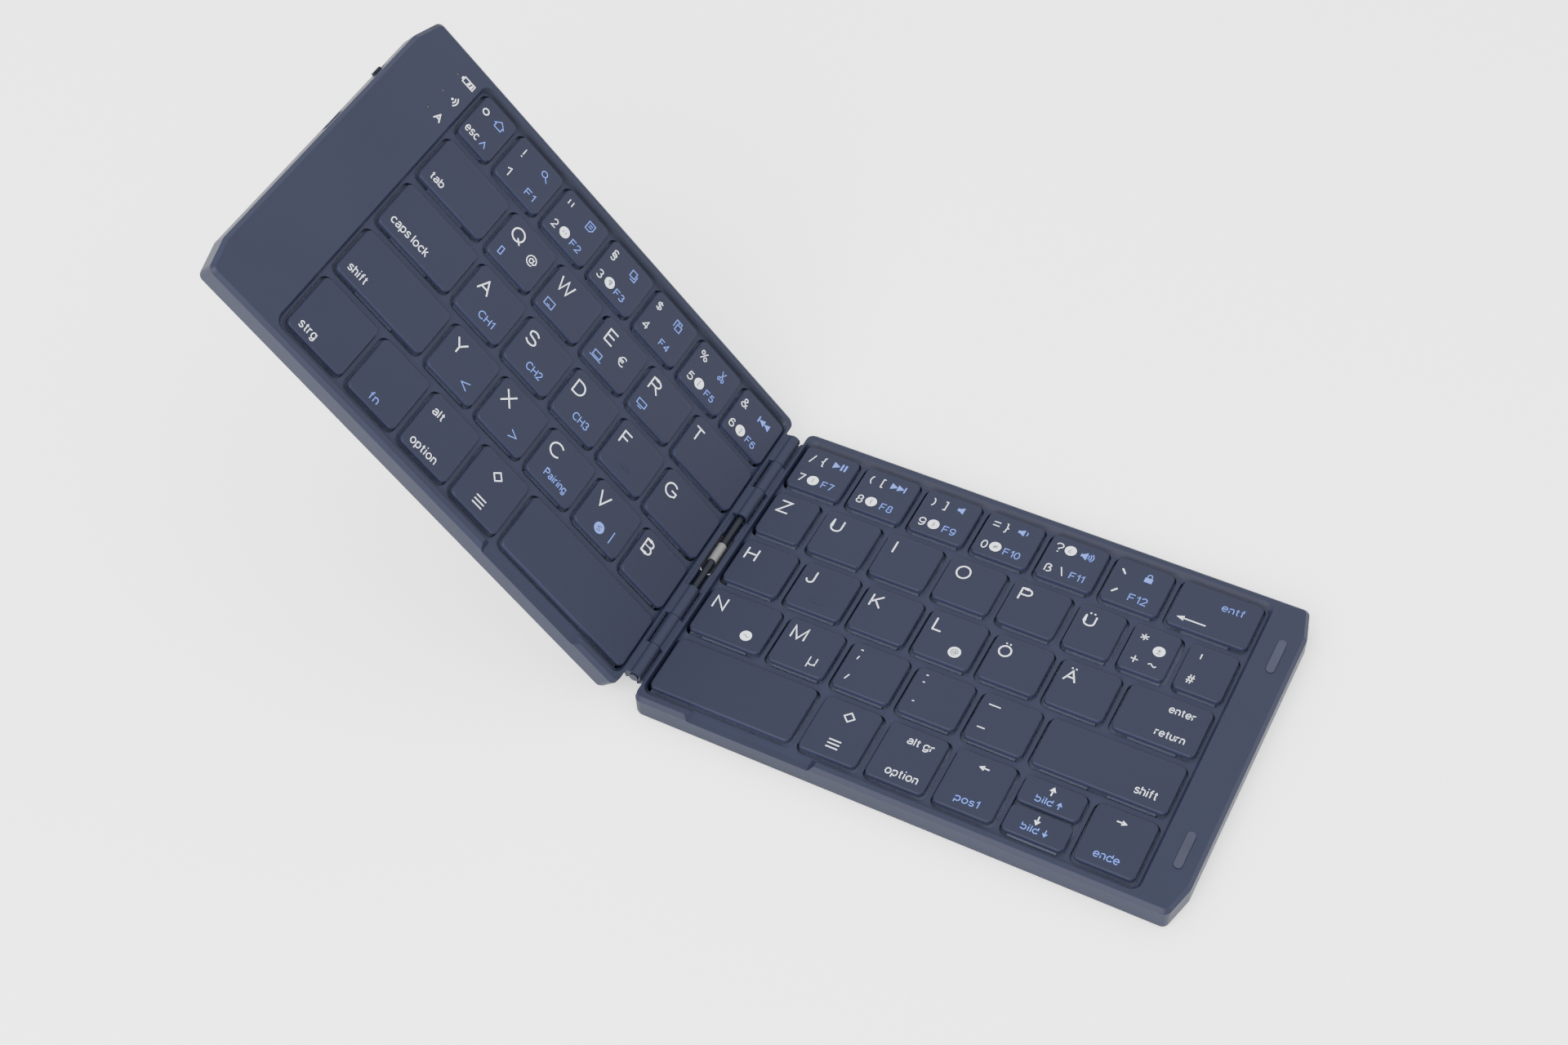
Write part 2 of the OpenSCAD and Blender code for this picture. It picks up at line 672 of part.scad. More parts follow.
board_t = 0.8;
board_gap = 1.25;
board_x = field_end(left_rows) + well_margin + wall_t + board_gap;
board_to = half_w - wall_t - side_gap;
board_y = 1.6;
board_rear = half_d / 2 - 3.6;
board_lift = 0.8;
board_under_z = cover_top_z + board_lift;
board_z = board_under_z + board_t;
post_in = 2;
post_r = 1.5;
knob_h = 1.2;
knob_z = 1;
lamp_chip = [1.6, 1, 0.5];
// Place and size of the processor and of the radio can, from the board's corner
processor_at = [2, 5];
processor = [5, 5, 0.9];
can_at = [7, 11];
can = [5, 9, 1.2];
module on_board(place, size) {
    translate([board_x + place[0], board_y + place[1], board_z - touch]) cube([size[0], size[1], size[2] + touch]);
}
module controller_board() {
    color("darkgreen") on_left() {
        // The board follows the case's outline
        translate([0, 0, board_under_z]) linear_extrude(board_t) intersection() {
            polygon(case_points(wall_t + side_gap, wall_t + side_gap));
            translate([board_x, board_y]) square([board_to - board_x, board_rear - board_y]);
        }
        on_board(processor_at, processor);
        on_board(can_at, can);
        for (i = [0 : 2])
            on_board([lamp_at - lamp_chip[0] / 2 - board_x, first_lamp_y - i * lamp_pitch - lamp_chip[1] / 2 - board_y], lamp_chip);
    }
}

module indicator_lenses() {
    z0 = board_z + lamp_chip[2] + fit_gap;
    color("whitesmoke") on_left() for (i = [0 : 2]) translate([lamp_at, first_lamp_y - i * lamp_pitch, z0])
        cylinder(h = rim_z - 0.1 - z0, r = lamp_r, $fn = smooth);
}

socket_d = 5.4;
socket_wall = 0.3;
socket_back = 0.8;
socket_in = 0.4;
tongue = [3.4, 3.6, 0.6];
module charging_socket() {
    x0 = half_w - socket_in - socket_d;
    color("silver") on_left() translate([x0, socket_y - socket_w / 2, board_z]) difference() {
        cube([socket_d, socket_w, socket_h]);
        translate([socket_back, socket_wall, socket_wall])
            cube([socket_d, socket_w - 2 * socket_wall, socket_h - 2 * socket_wall]);
    }
    // The contact tongue in the socket
    color("black") on_left() translate([x0 + socket_back - touch, socket_y - tongue[1] / 2, board_z + (socket_h - tongue[2]) / 2])
        cube([tongue[0] + touch, tongue[1], tongue[2]]);
}

housing_d = 4;
housing_room = 2.2;
housing_wall = 0.6;
module switch_housing() {
    color("dimgray") on_left() translate([half_w - wall_t - fit_gap - housing_d, slider_y - slider_slot / 2 - housing_wall, board_z])
        difference() {
            cube([housing_d, slider_slot + 2 * housing_wall, knob_z + knob_h / 2 + housing_roof]);
            translate([housing_d - housing_room, housing_wall, knob_z - knob_h / 2 - fit_gap])
                cube([housing_d, slider_slot, knob_h + 2 * fit_gap]);
        }
}
housing_roof = 0.4;

// The slider's knob has three grooves across its outer face
knob_tail = 2;
knob_from = 0.15;
groove_w = 0.3;
groove_t = 0.2;
module power_slider() {
    color("black") on_left() translate([half_w - wall_t - knob_tail, slider_y - slider_slot / 2 + knob_from, board_z + knob_z - knob_h / 2])
        difference() {
            cube([wall_t + knob_tail + knob_out, knob_l, knob_h]);
            for (i = [1 : 3]) translate([wall_t + knob_tail + knob_out - groove_t, i * knob_l / 4 - groove_w / 2, -through])
                cube([groove_t + through, groove_w, knob_h + 2 * through]);
        }
}

/* Keys */

// A key cap: its plan with round corners, its top bevelled on four sides, hollow below
module cap(x, y, w, d) {
    z0 = cap_z - cap_h;
    translate([x, y, 0]) difference() {
        intersection() {
            translate([0, 0, z0]) linear_extrude(cap_h) polygon(box_points(0, 0, w, d, cap_r));
            rotate([90, 0, 0]) translate([0, 0, -d]) linear_extrude(d) bevelled_side(w, z0);
            rotate([90, 0, 90]) linear_extrude(w) bevelled_side(d, z0);
        }
        translate([0, 0, z0 - through]) linear_extrude(cap_h - cap_t + through)
            polygon(box_points(cap_skirt, cap_skirt, w - 2 * cap_skirt, d - 2 * cap_skirt, cap_r / 2));
    }
}
module bevelled_side(l, z0) {
    polygon([[0, z0], [l, z0], [l, cap_z - cap_bevel], [l - cap_bevel, cap_z], [cap_bevel, cap_z], [0, cap_z - cap_bevel]]);
}

// The keys of one row whose places in it are listed
module keys(rows, r, places) {
    for (i = places) cap(key_x(rows, r, i), row_y(r) - row_d(r) / 2, key_w(rows, r, i), row_d(r));
}

// The raised bar on the two keys where the first fingers rest
module finger_bar(rows, r, i) {
    translate([key_x(rows, r, i) + (key_w(rows, r, i) - bar_l) / 2, row_y(r) - row_d(r) / 2 + bar_inset, cap_z - touch])
        cube([bar_l, bar_w, bar_h + touch]);
}

key_tone = "slategray";
module left_number_keys() { color(key_tone) on_left() keys(left_rows, 0, [0 : 5]); }
module escape_key() { color(key_tone) on_left() keys(left_rows, 0, [6]); }
module t_key() { color(key_tone) on_left() keys(left_rows, 1, [0]); }
module left_upper_letter_keys() { color(key_tone) on_left() keys(left_rows, 1, [1 : 4]); }
module tab_key() { color(key_tone) on_left() keys(left_rows, 1, [5]); }
module left_home_letter_keys() { color(key_tone) on_left() keys(left_rows, 2, [0, 2, 3, 4]); }
module f_key() {
    color(key_tone) on_left() {
        keys(left_rows, 2, [1]);
        finger_bar(left_rows, 2, 1);
    }
}
module caps_lock_key() { color(key_tone) on_left() keys(left_rows, 2, [5]); }
module left_lower_letter_keys() { color(key_tone) on_left() keys(left_rows, 3, [0 : 4]); }
module left_shift_key() { color(key_tone) on_left() keys(left_rows, 3, [5]); }
module left_space_key() { color(key_tone) on_left() keys(left_rows, 4, [0]); }
module left_command_key() { color(key_tone) on_left() keys(left_rows, 4, [1]); }
module left_alt_key() { color(key_tone) on_left() keys(left_rows, 4, [2]); }
module function_key() { color(key_tone) on_left() keys(left_rows, 4, [3]); }
module control_key() { color(key_tone) on_left() keys(left_rows, 4, [4]); }

module right_number_keys() { color(key_tone) on_right() keys(right_rows, 0, [0 : 5]); }
module backspace_key() { color(key_tone) on_right() keys(right_rows, 0, [6]); }
module right_upper_letter_keys() { color(key_tone) on_right() keys(right_rows, 1, [0 : 7]); }
module j_key() {
    color(key_tone) on_right() {
        keys(right_rows, 2, [1]);
        finger_bar(right_rows, 2, 1);
    }
}
module right_home_letter_keys() { color(key_tone) on_right() keys(right_rows, 2, [0, 2, 3, 4, 5]); }
module enter_key() { color(key_tone) on_right() keys(right_rows, 2, [6]); }
module n_key() { color(key_tone) on_right() keys(right_rows, 3, [0]); }
module right_lower_letter_keys() { color(key_tone) on_right() keys(right_rows, 3, [1 : 4]); }
module right_shift_key() { color(key_tone) on_right() keys(right_rows, 3, [5]); }
module right_space_key() { color(key_tone) on_right() keys(right_rows, 4, [0]); }
module right_command_key() { color(key_tone) on_right() keys(right_rows, 4, [1]); }
module right_alt_key() { color(key_tone) on_right() keys(right_rows, 4, [2]); }
module arrow_left_key() { color(key_tone) on_right() keys(right_rows, 4, [3]); }
module arrow_right_key() { color(key_tone) on_right() keys(right_rows, 4, [5]); }

arrow_d = (front_key_d - arrow_split) / 2;
module arrow_half_key(y) {
    color(key_tone) on_right() cap(key_x(right_rows, front_row, arrow_pair), y, key_w(right_rows, front_row, arrow_pair), arrow_d);
}
module arrow_up_key() { arrow_half_key(row_y(front_row) + arrow_split / 2); }
module arrow_down_key() { arrow_half_key(row_y(front_row) - front_key_d / 2); }

right_bottom_cover();
right_top_frame();
right_key_plate();
right_switch_sheet();
right_scissor_links();
right_rubber_domes();
right_foot_strips();
right_case_screws();
right_bumpers();
right_magnets();
battery();
hinge_pins();
hinge_rod();
hinge_collar();
flex_cable();
left_bottom_cover();
left_top_frame();
left_key_plate();
left_switch_sheet();
left_scissor_links();
left_rubber_domes();
left_foot_strips();
left_case_screws();
left_magnets();
controller_board();
charging_socket();
switch_housing();
power_slider();
indicator_lenses();
left_number_keys();
left_upper_letter_keys();
left_home_letter_keys();
left_lower_letter_keys();
t_key();
f_key();
escape_key();
tab_key();
caps_lock_key();
left_shift_key();
control_key();
function_key();
left_alt_key();
left_command_key();
left_space_key();
right_number_keys();
right_upper_letter_keys();
right_home_letter_keys();
right_lower_letter_keys();
n_key();
j_key();
backspace_key();
enter_key();
right_shift_key();
right_space_key();
right_command_key();
right_alt_key();
arrow_left_key();
arrow_up_key();
arrow_down_key();
arrow_right_key();
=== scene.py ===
"""Looks of the folding keyboard: finishes, key caps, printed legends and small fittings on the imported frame."""

import json
import logging
import math
from dataclasses import dataclass, field
from enum import Enum
from typing import Callable, Dict, Iterable, List, Optional, Sequence, Tuple

import bmesh
import bpy
from mathutils import Matrix, Vector

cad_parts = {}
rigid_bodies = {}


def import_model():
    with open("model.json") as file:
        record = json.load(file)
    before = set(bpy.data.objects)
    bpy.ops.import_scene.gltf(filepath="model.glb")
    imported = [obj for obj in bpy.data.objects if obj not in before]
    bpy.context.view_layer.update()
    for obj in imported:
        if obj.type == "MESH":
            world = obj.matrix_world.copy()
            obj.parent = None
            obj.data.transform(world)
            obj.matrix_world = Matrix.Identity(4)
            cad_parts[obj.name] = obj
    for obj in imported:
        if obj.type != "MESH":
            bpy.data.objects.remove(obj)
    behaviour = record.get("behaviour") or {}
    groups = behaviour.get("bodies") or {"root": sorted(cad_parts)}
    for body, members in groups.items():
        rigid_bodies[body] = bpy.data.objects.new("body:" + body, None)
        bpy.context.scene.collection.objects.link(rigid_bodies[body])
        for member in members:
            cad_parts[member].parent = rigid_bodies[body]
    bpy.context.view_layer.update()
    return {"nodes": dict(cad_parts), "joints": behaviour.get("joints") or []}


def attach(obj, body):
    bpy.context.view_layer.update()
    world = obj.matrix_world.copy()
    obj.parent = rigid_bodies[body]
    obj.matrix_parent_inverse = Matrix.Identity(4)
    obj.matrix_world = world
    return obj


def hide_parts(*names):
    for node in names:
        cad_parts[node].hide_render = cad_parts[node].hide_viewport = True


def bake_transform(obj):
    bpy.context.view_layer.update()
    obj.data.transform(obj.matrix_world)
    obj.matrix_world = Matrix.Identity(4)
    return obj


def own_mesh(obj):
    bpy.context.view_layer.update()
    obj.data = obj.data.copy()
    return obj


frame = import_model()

MM = 0.001
LOG = logging.getLogger("keyboard")

Point2 = Tuple[float, float]
Colour = Tuple[float, float, float]


# ---------------------------------------------------------------- places


@dataclass(frozen=True)
class HalfPlace:
    """Where one half of the keyboard lies. Its own millimetres start at the hinge line, x runs to the right and z along its normal.

    Args:
        body: name of the body that carries it.
        turn: angle about the hinge line in radians.
        hinge: a point of the hinge line in metres.
        outward: 1 when the half lies to the right of the hinge, -1 to the left.
    """

    body: str
    turn: float
    hinge: Tuple[float, float, float]
    outward: int

    def matrix(self) -> Matrix:
        """Returns the matrix from the half's millimetres to the scene."""
        return Matrix.Translation(Vector(self.hinge)) @ Matrix.Rotation(self.turn, 4, "Y") @ Matrix.Scale(MM, 4)

    def normal(self) -> Vector:
        """Returns the direction that the half's top faces."""
        return (Matrix.Rotation(self.turn, 3, "Y") @ Vector((0, 0, 1))).normalized()


def find_halves() -> Tuple[HalfPlace, HalfPlace]:
    """Reads where the two halves lie from the fold joint.

    Returns:
        The right half and the left half.
    """
    fold = next(joint for joint in frame["joints"] if joint["name"] == "fold")
    hinge = tuple(fold["pos_m"])
    angle = -math.radians(fold["range_deg"][0])
    return HalfPlace("right_half", 0.0, hinge, 1), HalfPlace("left_half", angle, hinge, -1)


# ---------------------------------------------------------------- shader maths


class Shade:
    """One shader socket whose operators add Math nodes."""

    def __init__(self, paint: "Paint", socket: bpy.types.NodeSocket) -> None:
        """Wraps a socket of a paint's node tree."""
        self.paint = paint
        self.socket = socket

    def _math(self, operation: str, first: object, second: object) -> "Shade":
        """Adds one Math node.

        Args:
            operation: the node's operation.
            first: its first value or link.
            second: its second value or link.

        Returns:
            The node's result.
        """
        return self.paint.node("ShaderNodeMath", {"operation": operation}, {0: first, 1: second})

    def __add__(self, other: object) -> "Shade":
        """Adds."""
        return self._math("ADD", self, other)

    __radd__ = __add__

    def __mul__(self, other: object) -> "Shade":
        """Multiplies."""
        return self._math("MULTIPLY", self, other)

    __rmul__ = __mul__

    def __sub__(self, other: object) -> "Shade":
        """Subtracts a value from this one."""
        return self._math("SUBTRACT", self, other)

    def __rsub__(self, other: object) -> "Shade":
        """Subtracts this one from a value."""
        return self._math("SUBTRACT", other, self)

    def at_least(self, other: object) -> "Shade":
        """Takes the larger of two."""
        return self._math("MAXIMUM", self, other)

    def power(self, other: object) -> "Shade":
        """Raises to a power."""
        return self._math("POWER", self, other)


class Paint:
    """A material's node tree, built from expressions."""

    def __init__(self, name: str) -> None:
        """Starts an empty node tree under a name."""
        self.material = bpy.data.materials.new(name)
        self.material.use_nodes = True
        self.tree = self.material.node_tree
        self.tree.nodes.clear()

    def node(self, kind: str, settings: Optional[Dict[str, object]] = None, inputs: Optional[Dict[object, object]] = None,
             output: object = 0) -> Shade:
        """Adds a node.

        Args:
            kind: the node's type.
            settings: its settings; "stops" holds a colour ramp's places and colours.
            inputs: values or links for its sockets.
            output: the name or place of the output to return.

        Returns:
            The wrapped output socket.
        """
        made = self.tree.nodes.new(kind)
        for key, value in (settings or {}).items():
            if key == "stops":
                ramp = made.color_ramp
                while len(ramp.elements) < len(value):
                    ramp.elements.new(0.5)
                for element, (place, colour) in zip(ramp.elements, value):
                    element.position = place
                    element.color = (*colour, 1.0)
            else:
                setattr(made, key, value)
        for key, value in (inputs or {}).items():
            socket = made.inputs[key]
            if isinstance(value, Shade):
                self.tree.links.new(value.socket, socket)
            elif hasattr(socket, "default_value"):
                wide = isinstance(value, (tuple, list)) and len(value) == 3 and len(getattr(socket, "default_value", ())) == 4 \
                    if not isinstance(socket.default_value, (float, int)) else False
                socket.default_value = (*value, 1.0) if wide else value
        return Shade(self, made.outputs[output])

    def place(self) -> Shade:
        """Returns the object's own coordinates."""
        return self.node("ShaderNodeTexCoord", output="Object")

    def noise(self, size_mm: float, detail: float = 2.0, rough: float = 0.5, stretch: Tuple[float, float, float] = (1, 1, 1)) -> Shade:
        """Adds fractal noise with a real grain size.

        Args:
            size_mm: width of its coarsest grain in millimetres.
            detail: number of octaves.
            rough: share that each octave keeps.
            stretch: scale along each axis.

        Returns:
            Noise from 0 to 1.
        """
        spot = self.node("ShaderNodeMapping", None, {"Vector": self.place(), "Scale": stretch})
        return self.node("ShaderNodeTexNoise", None,
                         {"Vector": spot, "Scale": 1.0 / (size_mm * MM), "Detail": detail, "Roughness": rough}, "Fac")

    def mix(self, amount: object, first: object, second: object) -> Shade:
        """Mixes two colours by an amount."""
        return self.node("ShaderNodeMix", {"data_type": "RGBA"}, {"Factor": amount, 6: first, 7: second}, 2)

    def ramp(self, value: Shade, low: float, high: float) -> Shade:
        """Stretches values between two limits to 0 and 1."""
        return self.node("ShaderNodeMapRange", {"clamp": True}, {"Value": value, "From Min": low, "From Max": high})

    def bump(self, height: object, depth_mm: float, strength: float = 1.0, normal: Optional[Shade] = None) -> Shade:
        """Turns heights from 0 to 1 into a bump of a real depth."""
        inputs: Dict[object, object] = {"Height": height, "Distance": depth_mm * MM, "Strength": strength}
        if normal is not None:
            inputs["Normal"] = normal
        return self.node("ShaderNodeBump", None, inputs, "Normal")

    def finish(self, settings: Dict[str, object]) -> bpy.types.Material:
        """Adds the surface shader and the output.

        Args:
            settings: values or links for the shader's sockets.

        Returns:
            The finished material.
        """
        surface = self.node("ShaderNodeBsdfPrincipled", None, settings, "BSDF")
        self.node_output(surface)
        return self.material

    def node_output(self, surface: Shade) -> None:
        """Links a surface to the material's output."""
        out = self.tree.nodes.new("ShaderNodeOutputMaterial")
        self.tree.links.new(surface.socket, out.inputs["Surface"])


# ---------------------------------------------------------------- finishes


@dataclass(frozen=True)
class MouldedPlastic:
    """Satin moulded plastic with a fine spark-eroded grain.

    Args:
        colour: its base colour.
        shade: how much darker and lighter its broad patches are.
        roughness: its mean roughness.
        grain_mm: width of the grain.
        grain_depth_mm: depth of the grain.
        specular: strength of its sheen.
        edge_mm: radius by which its edges look rounded.
    """

    colour: Colour
    shade: float = 0.05
    roughness: float = 0.46
    grain_mm: float = 0.22
    grain_depth_mm: float = 0.006
    specular: float = 0.16
    edge_mm: float = 0.12

    def material(self, name: str) -> bpy.types.Material:
        """Builds the material under a name."""
        paint = Paint(name)
        broad = paint.noise(28.0, 3.0)
        fine = paint.noise(self.grain_mm, 2.0, 0.6)
        speck = paint.noise(0.9, 1.0)
        low = tuple(c * (1 - self.shade) for c in self.colour)
        high = tuple(min(1.0, c * (1 + self.shade)) for c in self.colour)
        colour = paint.mix(paint.ramp(broad, 0.3, 0.7), low, high)
        dust = paint.ramp(speck, 0.72, 0.8) * 0.05
        colour = paint.mix(dust, colour, tuple(min(1.0, c * 1.8 + 0.02) for c in self.colour))
        rough = self.roughness + (fine - 0.5) * 0.12 + (broad - 0.5) * 0.06
        soft = paint.node("ShaderNodeBevel", {"samples": 4}, {"Radius": self.edge_mm * MM}, "Normal")
        return paint.finish({
            "Base Color": colour,
            "Roughness": rough,
            "Specular IOR Level": self.specular,
            "Normal": paint.bump(fine, self.grain_depth_mm, 1.0, soft),
        })


@dataclass(frozen=True)
class CasePlastic(MouldedPlastic):
    """The case's plastic: its well's rear wall has a coarser grain and a painted light that makes it lighter, and its
    edges get a painted highlight that makes them a little brighter.

    Args:
        place: the half that it covers.
        rear_mm: where the well's rear wall starts and ends.
        top_mm: height of the rim above the hinge line.
        painted_wall_colour: colour of the rear wall, painted lighter than the case, a painted light for the light that
            the wall catches.
        painted_floor_light: how many times lighter the well's floor and the walls of its openings are painted, a
            painted light that lifts the shade there.
    """

    place: Optional[HalfPlace] = None
    rear_mm: Tuple[float, float] = (44.9, 47.4)
    top_mm: float = -0.6
    painted_wall_colour: Colour = (0.0165, 0.0175, 0.0290)
    painted_floor_light: float = 1.12

    def material(self, name: str) -> bpy.types.Material:
        """Builds the material under a name."""
        paint = Paint(name)
        place = paint.place()
        offset = paint.node("ShaderNodeVectorMath", {"operation": "SUBTRACT"}, {0: place, 1: self.place.hinge}, "Vector")
        height = paint.node("ShaderNodeVectorMath", {"operation": "DOT_PRODUCT"}, {0: offset, 1: tuple(self.place.normal())}, "Value")
        depth = paint.node("ShaderNodeSeparateXYZ", None, {"Vector": offset}, "Y")
        below = paint.ramp(height, (self.top_mm - 0.06) * MM, (self.top_mm - 0.16) * MM)
        behind = paint.ramp(depth, self.rear_mm[0] * MM, (self.rear_mm[0] + 0.2) * MM)
        within = paint.ramp(depth, (self.rear_mm[1] + 0.2) * MM, self.rear_mm[1] * MM)
        front = paint.ramp(depth, -self.rear_mm[1] * MM, (0.2 - self.rear_mm[1]) * MM)
        wall = below * behind * within
        floor = below * within * front
        broad, fine, speck = paint.noise(28.0, 3.0), paint.noise(self.grain_mm, 2.0, 0.6), paint.noise(0.9, 1.0)
        tone = lambda share: tuple(min(1.0, c * share) for c in self.colour)
        colour = paint.mix(paint.ramp(broad, 0.3, 0.7), tone(1 - self.shade), tone(1 + self.shade))
        # Painted light: the well's floor and the walls of its openings are made lighter than the case, to lift the
        # shade that falls there.
        colour = paint.mix(floor, colour, tone(self.painted_floor_light))
        # Painted light: the rear wall's grained colour is lighter than the case, standing in for the light that the
        # sloping wall catches.
        grained_painted_wall = paint.mix(paint.ramp(fine, 0.3, 0.7), tuple(c * 0.82 for c in self.painted_wall_colour), tuple(c * 1.18 for c in self.painted_wall_colour))
        colour = paint.mix(wall, colour, grained_painted_wall)
        soft = paint.node("ShaderNodeBevel", {"samples": 4}, {"Radius": self.edge_mm * MM}, "Normal")
        true = paint.node("ShaderNodeNewGeometry", output="Normal")
        match = paint.node("ShaderNodeVectorMath", {"operation": "DOT_PRODUCT"}, {0: soft, 1: true}, "Value")
        # Painted highlight: a lighter colour along the rounded edges, where the bevel normal leaves the true normal,
        # broken up by specks.
        painted_edge_highlight = paint.ramp(match, 0.995, 0.9) * paint.ramp(speck, 0.25, 0.6) * 0.14
        colour = paint.mix(painted_edge_highlight, colour, tone(2.4))
        rough = self.roughness + (fine - 0.5) * 0.12 + (broad - 0.5) * 0.06 + wall * 0.06
        return paint.finish({
            "Base Color": colour,
            "Roughness": rough,
            "Specular IOR Level": self.specular,
            "Normal": paint.bump(fine, self.grain_depth_mm, 1.0, soft),
        })


@dataclass(frozen=True)
class SoftRubber:
    """Matte rubber with a slightly mottled skin."""

    colour: Colour
    roughness: float = 0.72
    grain_mm: float = 0.3

    def material(self, name: str) -> bpy.types.Material:
        """Builds the material under a name."""
        paint = Paint(name)
        fine = paint.noise(self.grain_mm, 3.0, 0.6)
        broad = paint.noise(9.0, 2.0)
        colour = paint.mix(paint.ramp(broad, 0.3, 0.7), tuple(c * 0.88 for c in self.colour), tuple(c * 1.15 for c in self.colour))
        return paint.finish({
            "Base Color": colour,
            "Roughness": self.roughness + (fine - 0.5) * 0.15,
            "Specular IOR Level": 0.3,
            "Normal": paint.bump(fine, 0.012),
        })


@dataclass(frozen=True)
class WorkedMetal:
    """Metal with fine marks along one axis.

    Args:
        colour: its base colour.
        roughness: its mean roughness.
        marks: stretch of the marks along each axis.
    """

    colour: Colour
    roughness: float = 0.32
    marks: Tuple[float, float, float] = (1.0, 0.05, 1.0)
    metallic: float = 1.0

    def material(self, name: str) -> bpy.types.Material:
        """Builds the material under a name."""
        paint = Paint(name)
        lines = paint.noise(0.12, 3.0, 0.6, self.marks)
        stain = paint.noise(4.0, 2.0)
        colour = paint.mix(paint.ramp(stain, 0.25, 0.75), tuple(c * 0.85 for c in self.colour), self.colour)
        return paint.finish({
            "Base Color": colour,
            "Metallic": self.metallic,
            "Roughness": self.roughness + (lines - 0.5) * 0.2 + (stain - 0.5) * 0.1,
            "Normal": paint.bump(lines, 0.004),
        })


@dataclass(frozen=True)
class PrintedInk:
    """Screen-printed ink with faint pinholes."""

    colour: Colour
    roughness: float = 0.5

    def material(self, name: str) -> bpy.types.Material:
        """Builds the material under a name."""
        paint = Paint(name)
        fine = paint.noise(0.12, 2.0)
        colour = paint.mix(paint.ramp(fine, 0.62, 0.8) * 0.25, self.colour, tuple(c * 0.7 for c in self.colour))
        return paint.finish({"Base Color": colour, "Roughness": self.roughness + (fine - 0.5) * 0.15,
                             "Normal": paint.bump(fine, 0.003)})


@dataclass(frozen=True)
class GlossyFilm:
    """Smooth film, lacquer or clear plastic."""

    colour: Colour
    roughness: float = 0.2
    tracks: Optional[Colour] = None

    def material(self, name: str) -> bpy.types.Material:
        """Builds the material under a name, with printed tracks where it has them."""
        paint = Paint(name)
        broad = paint.noise(6.0, 2.0)
        colour: object = paint.mix(paint.ramp(broad, 0.3, 0.7), tuple(c * 0.9 for c in self.colour), self.colour)
        if self.tracks is not None:
            lines = paint.node("ShaderNodeTexWave", {"wave_type": "BANDS", "bands_direction": "DIAGONAL"},
                               {"Vector": paint.place(), "Scale": 260.0, "Distortion": 3.0, "Detail": 1.0}, "Fac")
            colour = paint.mix(paint.ramp(lines, 0.8, 0.86), colour, self.tracks)
        return paint.finish({"Base Color": colour, "Roughness": self.roughness + (broad - 0.5) * 0.1,
                             "Normal": paint.bump(broad, 0.01)})


NAVY_CASE = (0.0082, 0.0100, 0.0218)
NAVY_KEY = (0.0073, 0.0088, 0.0198)


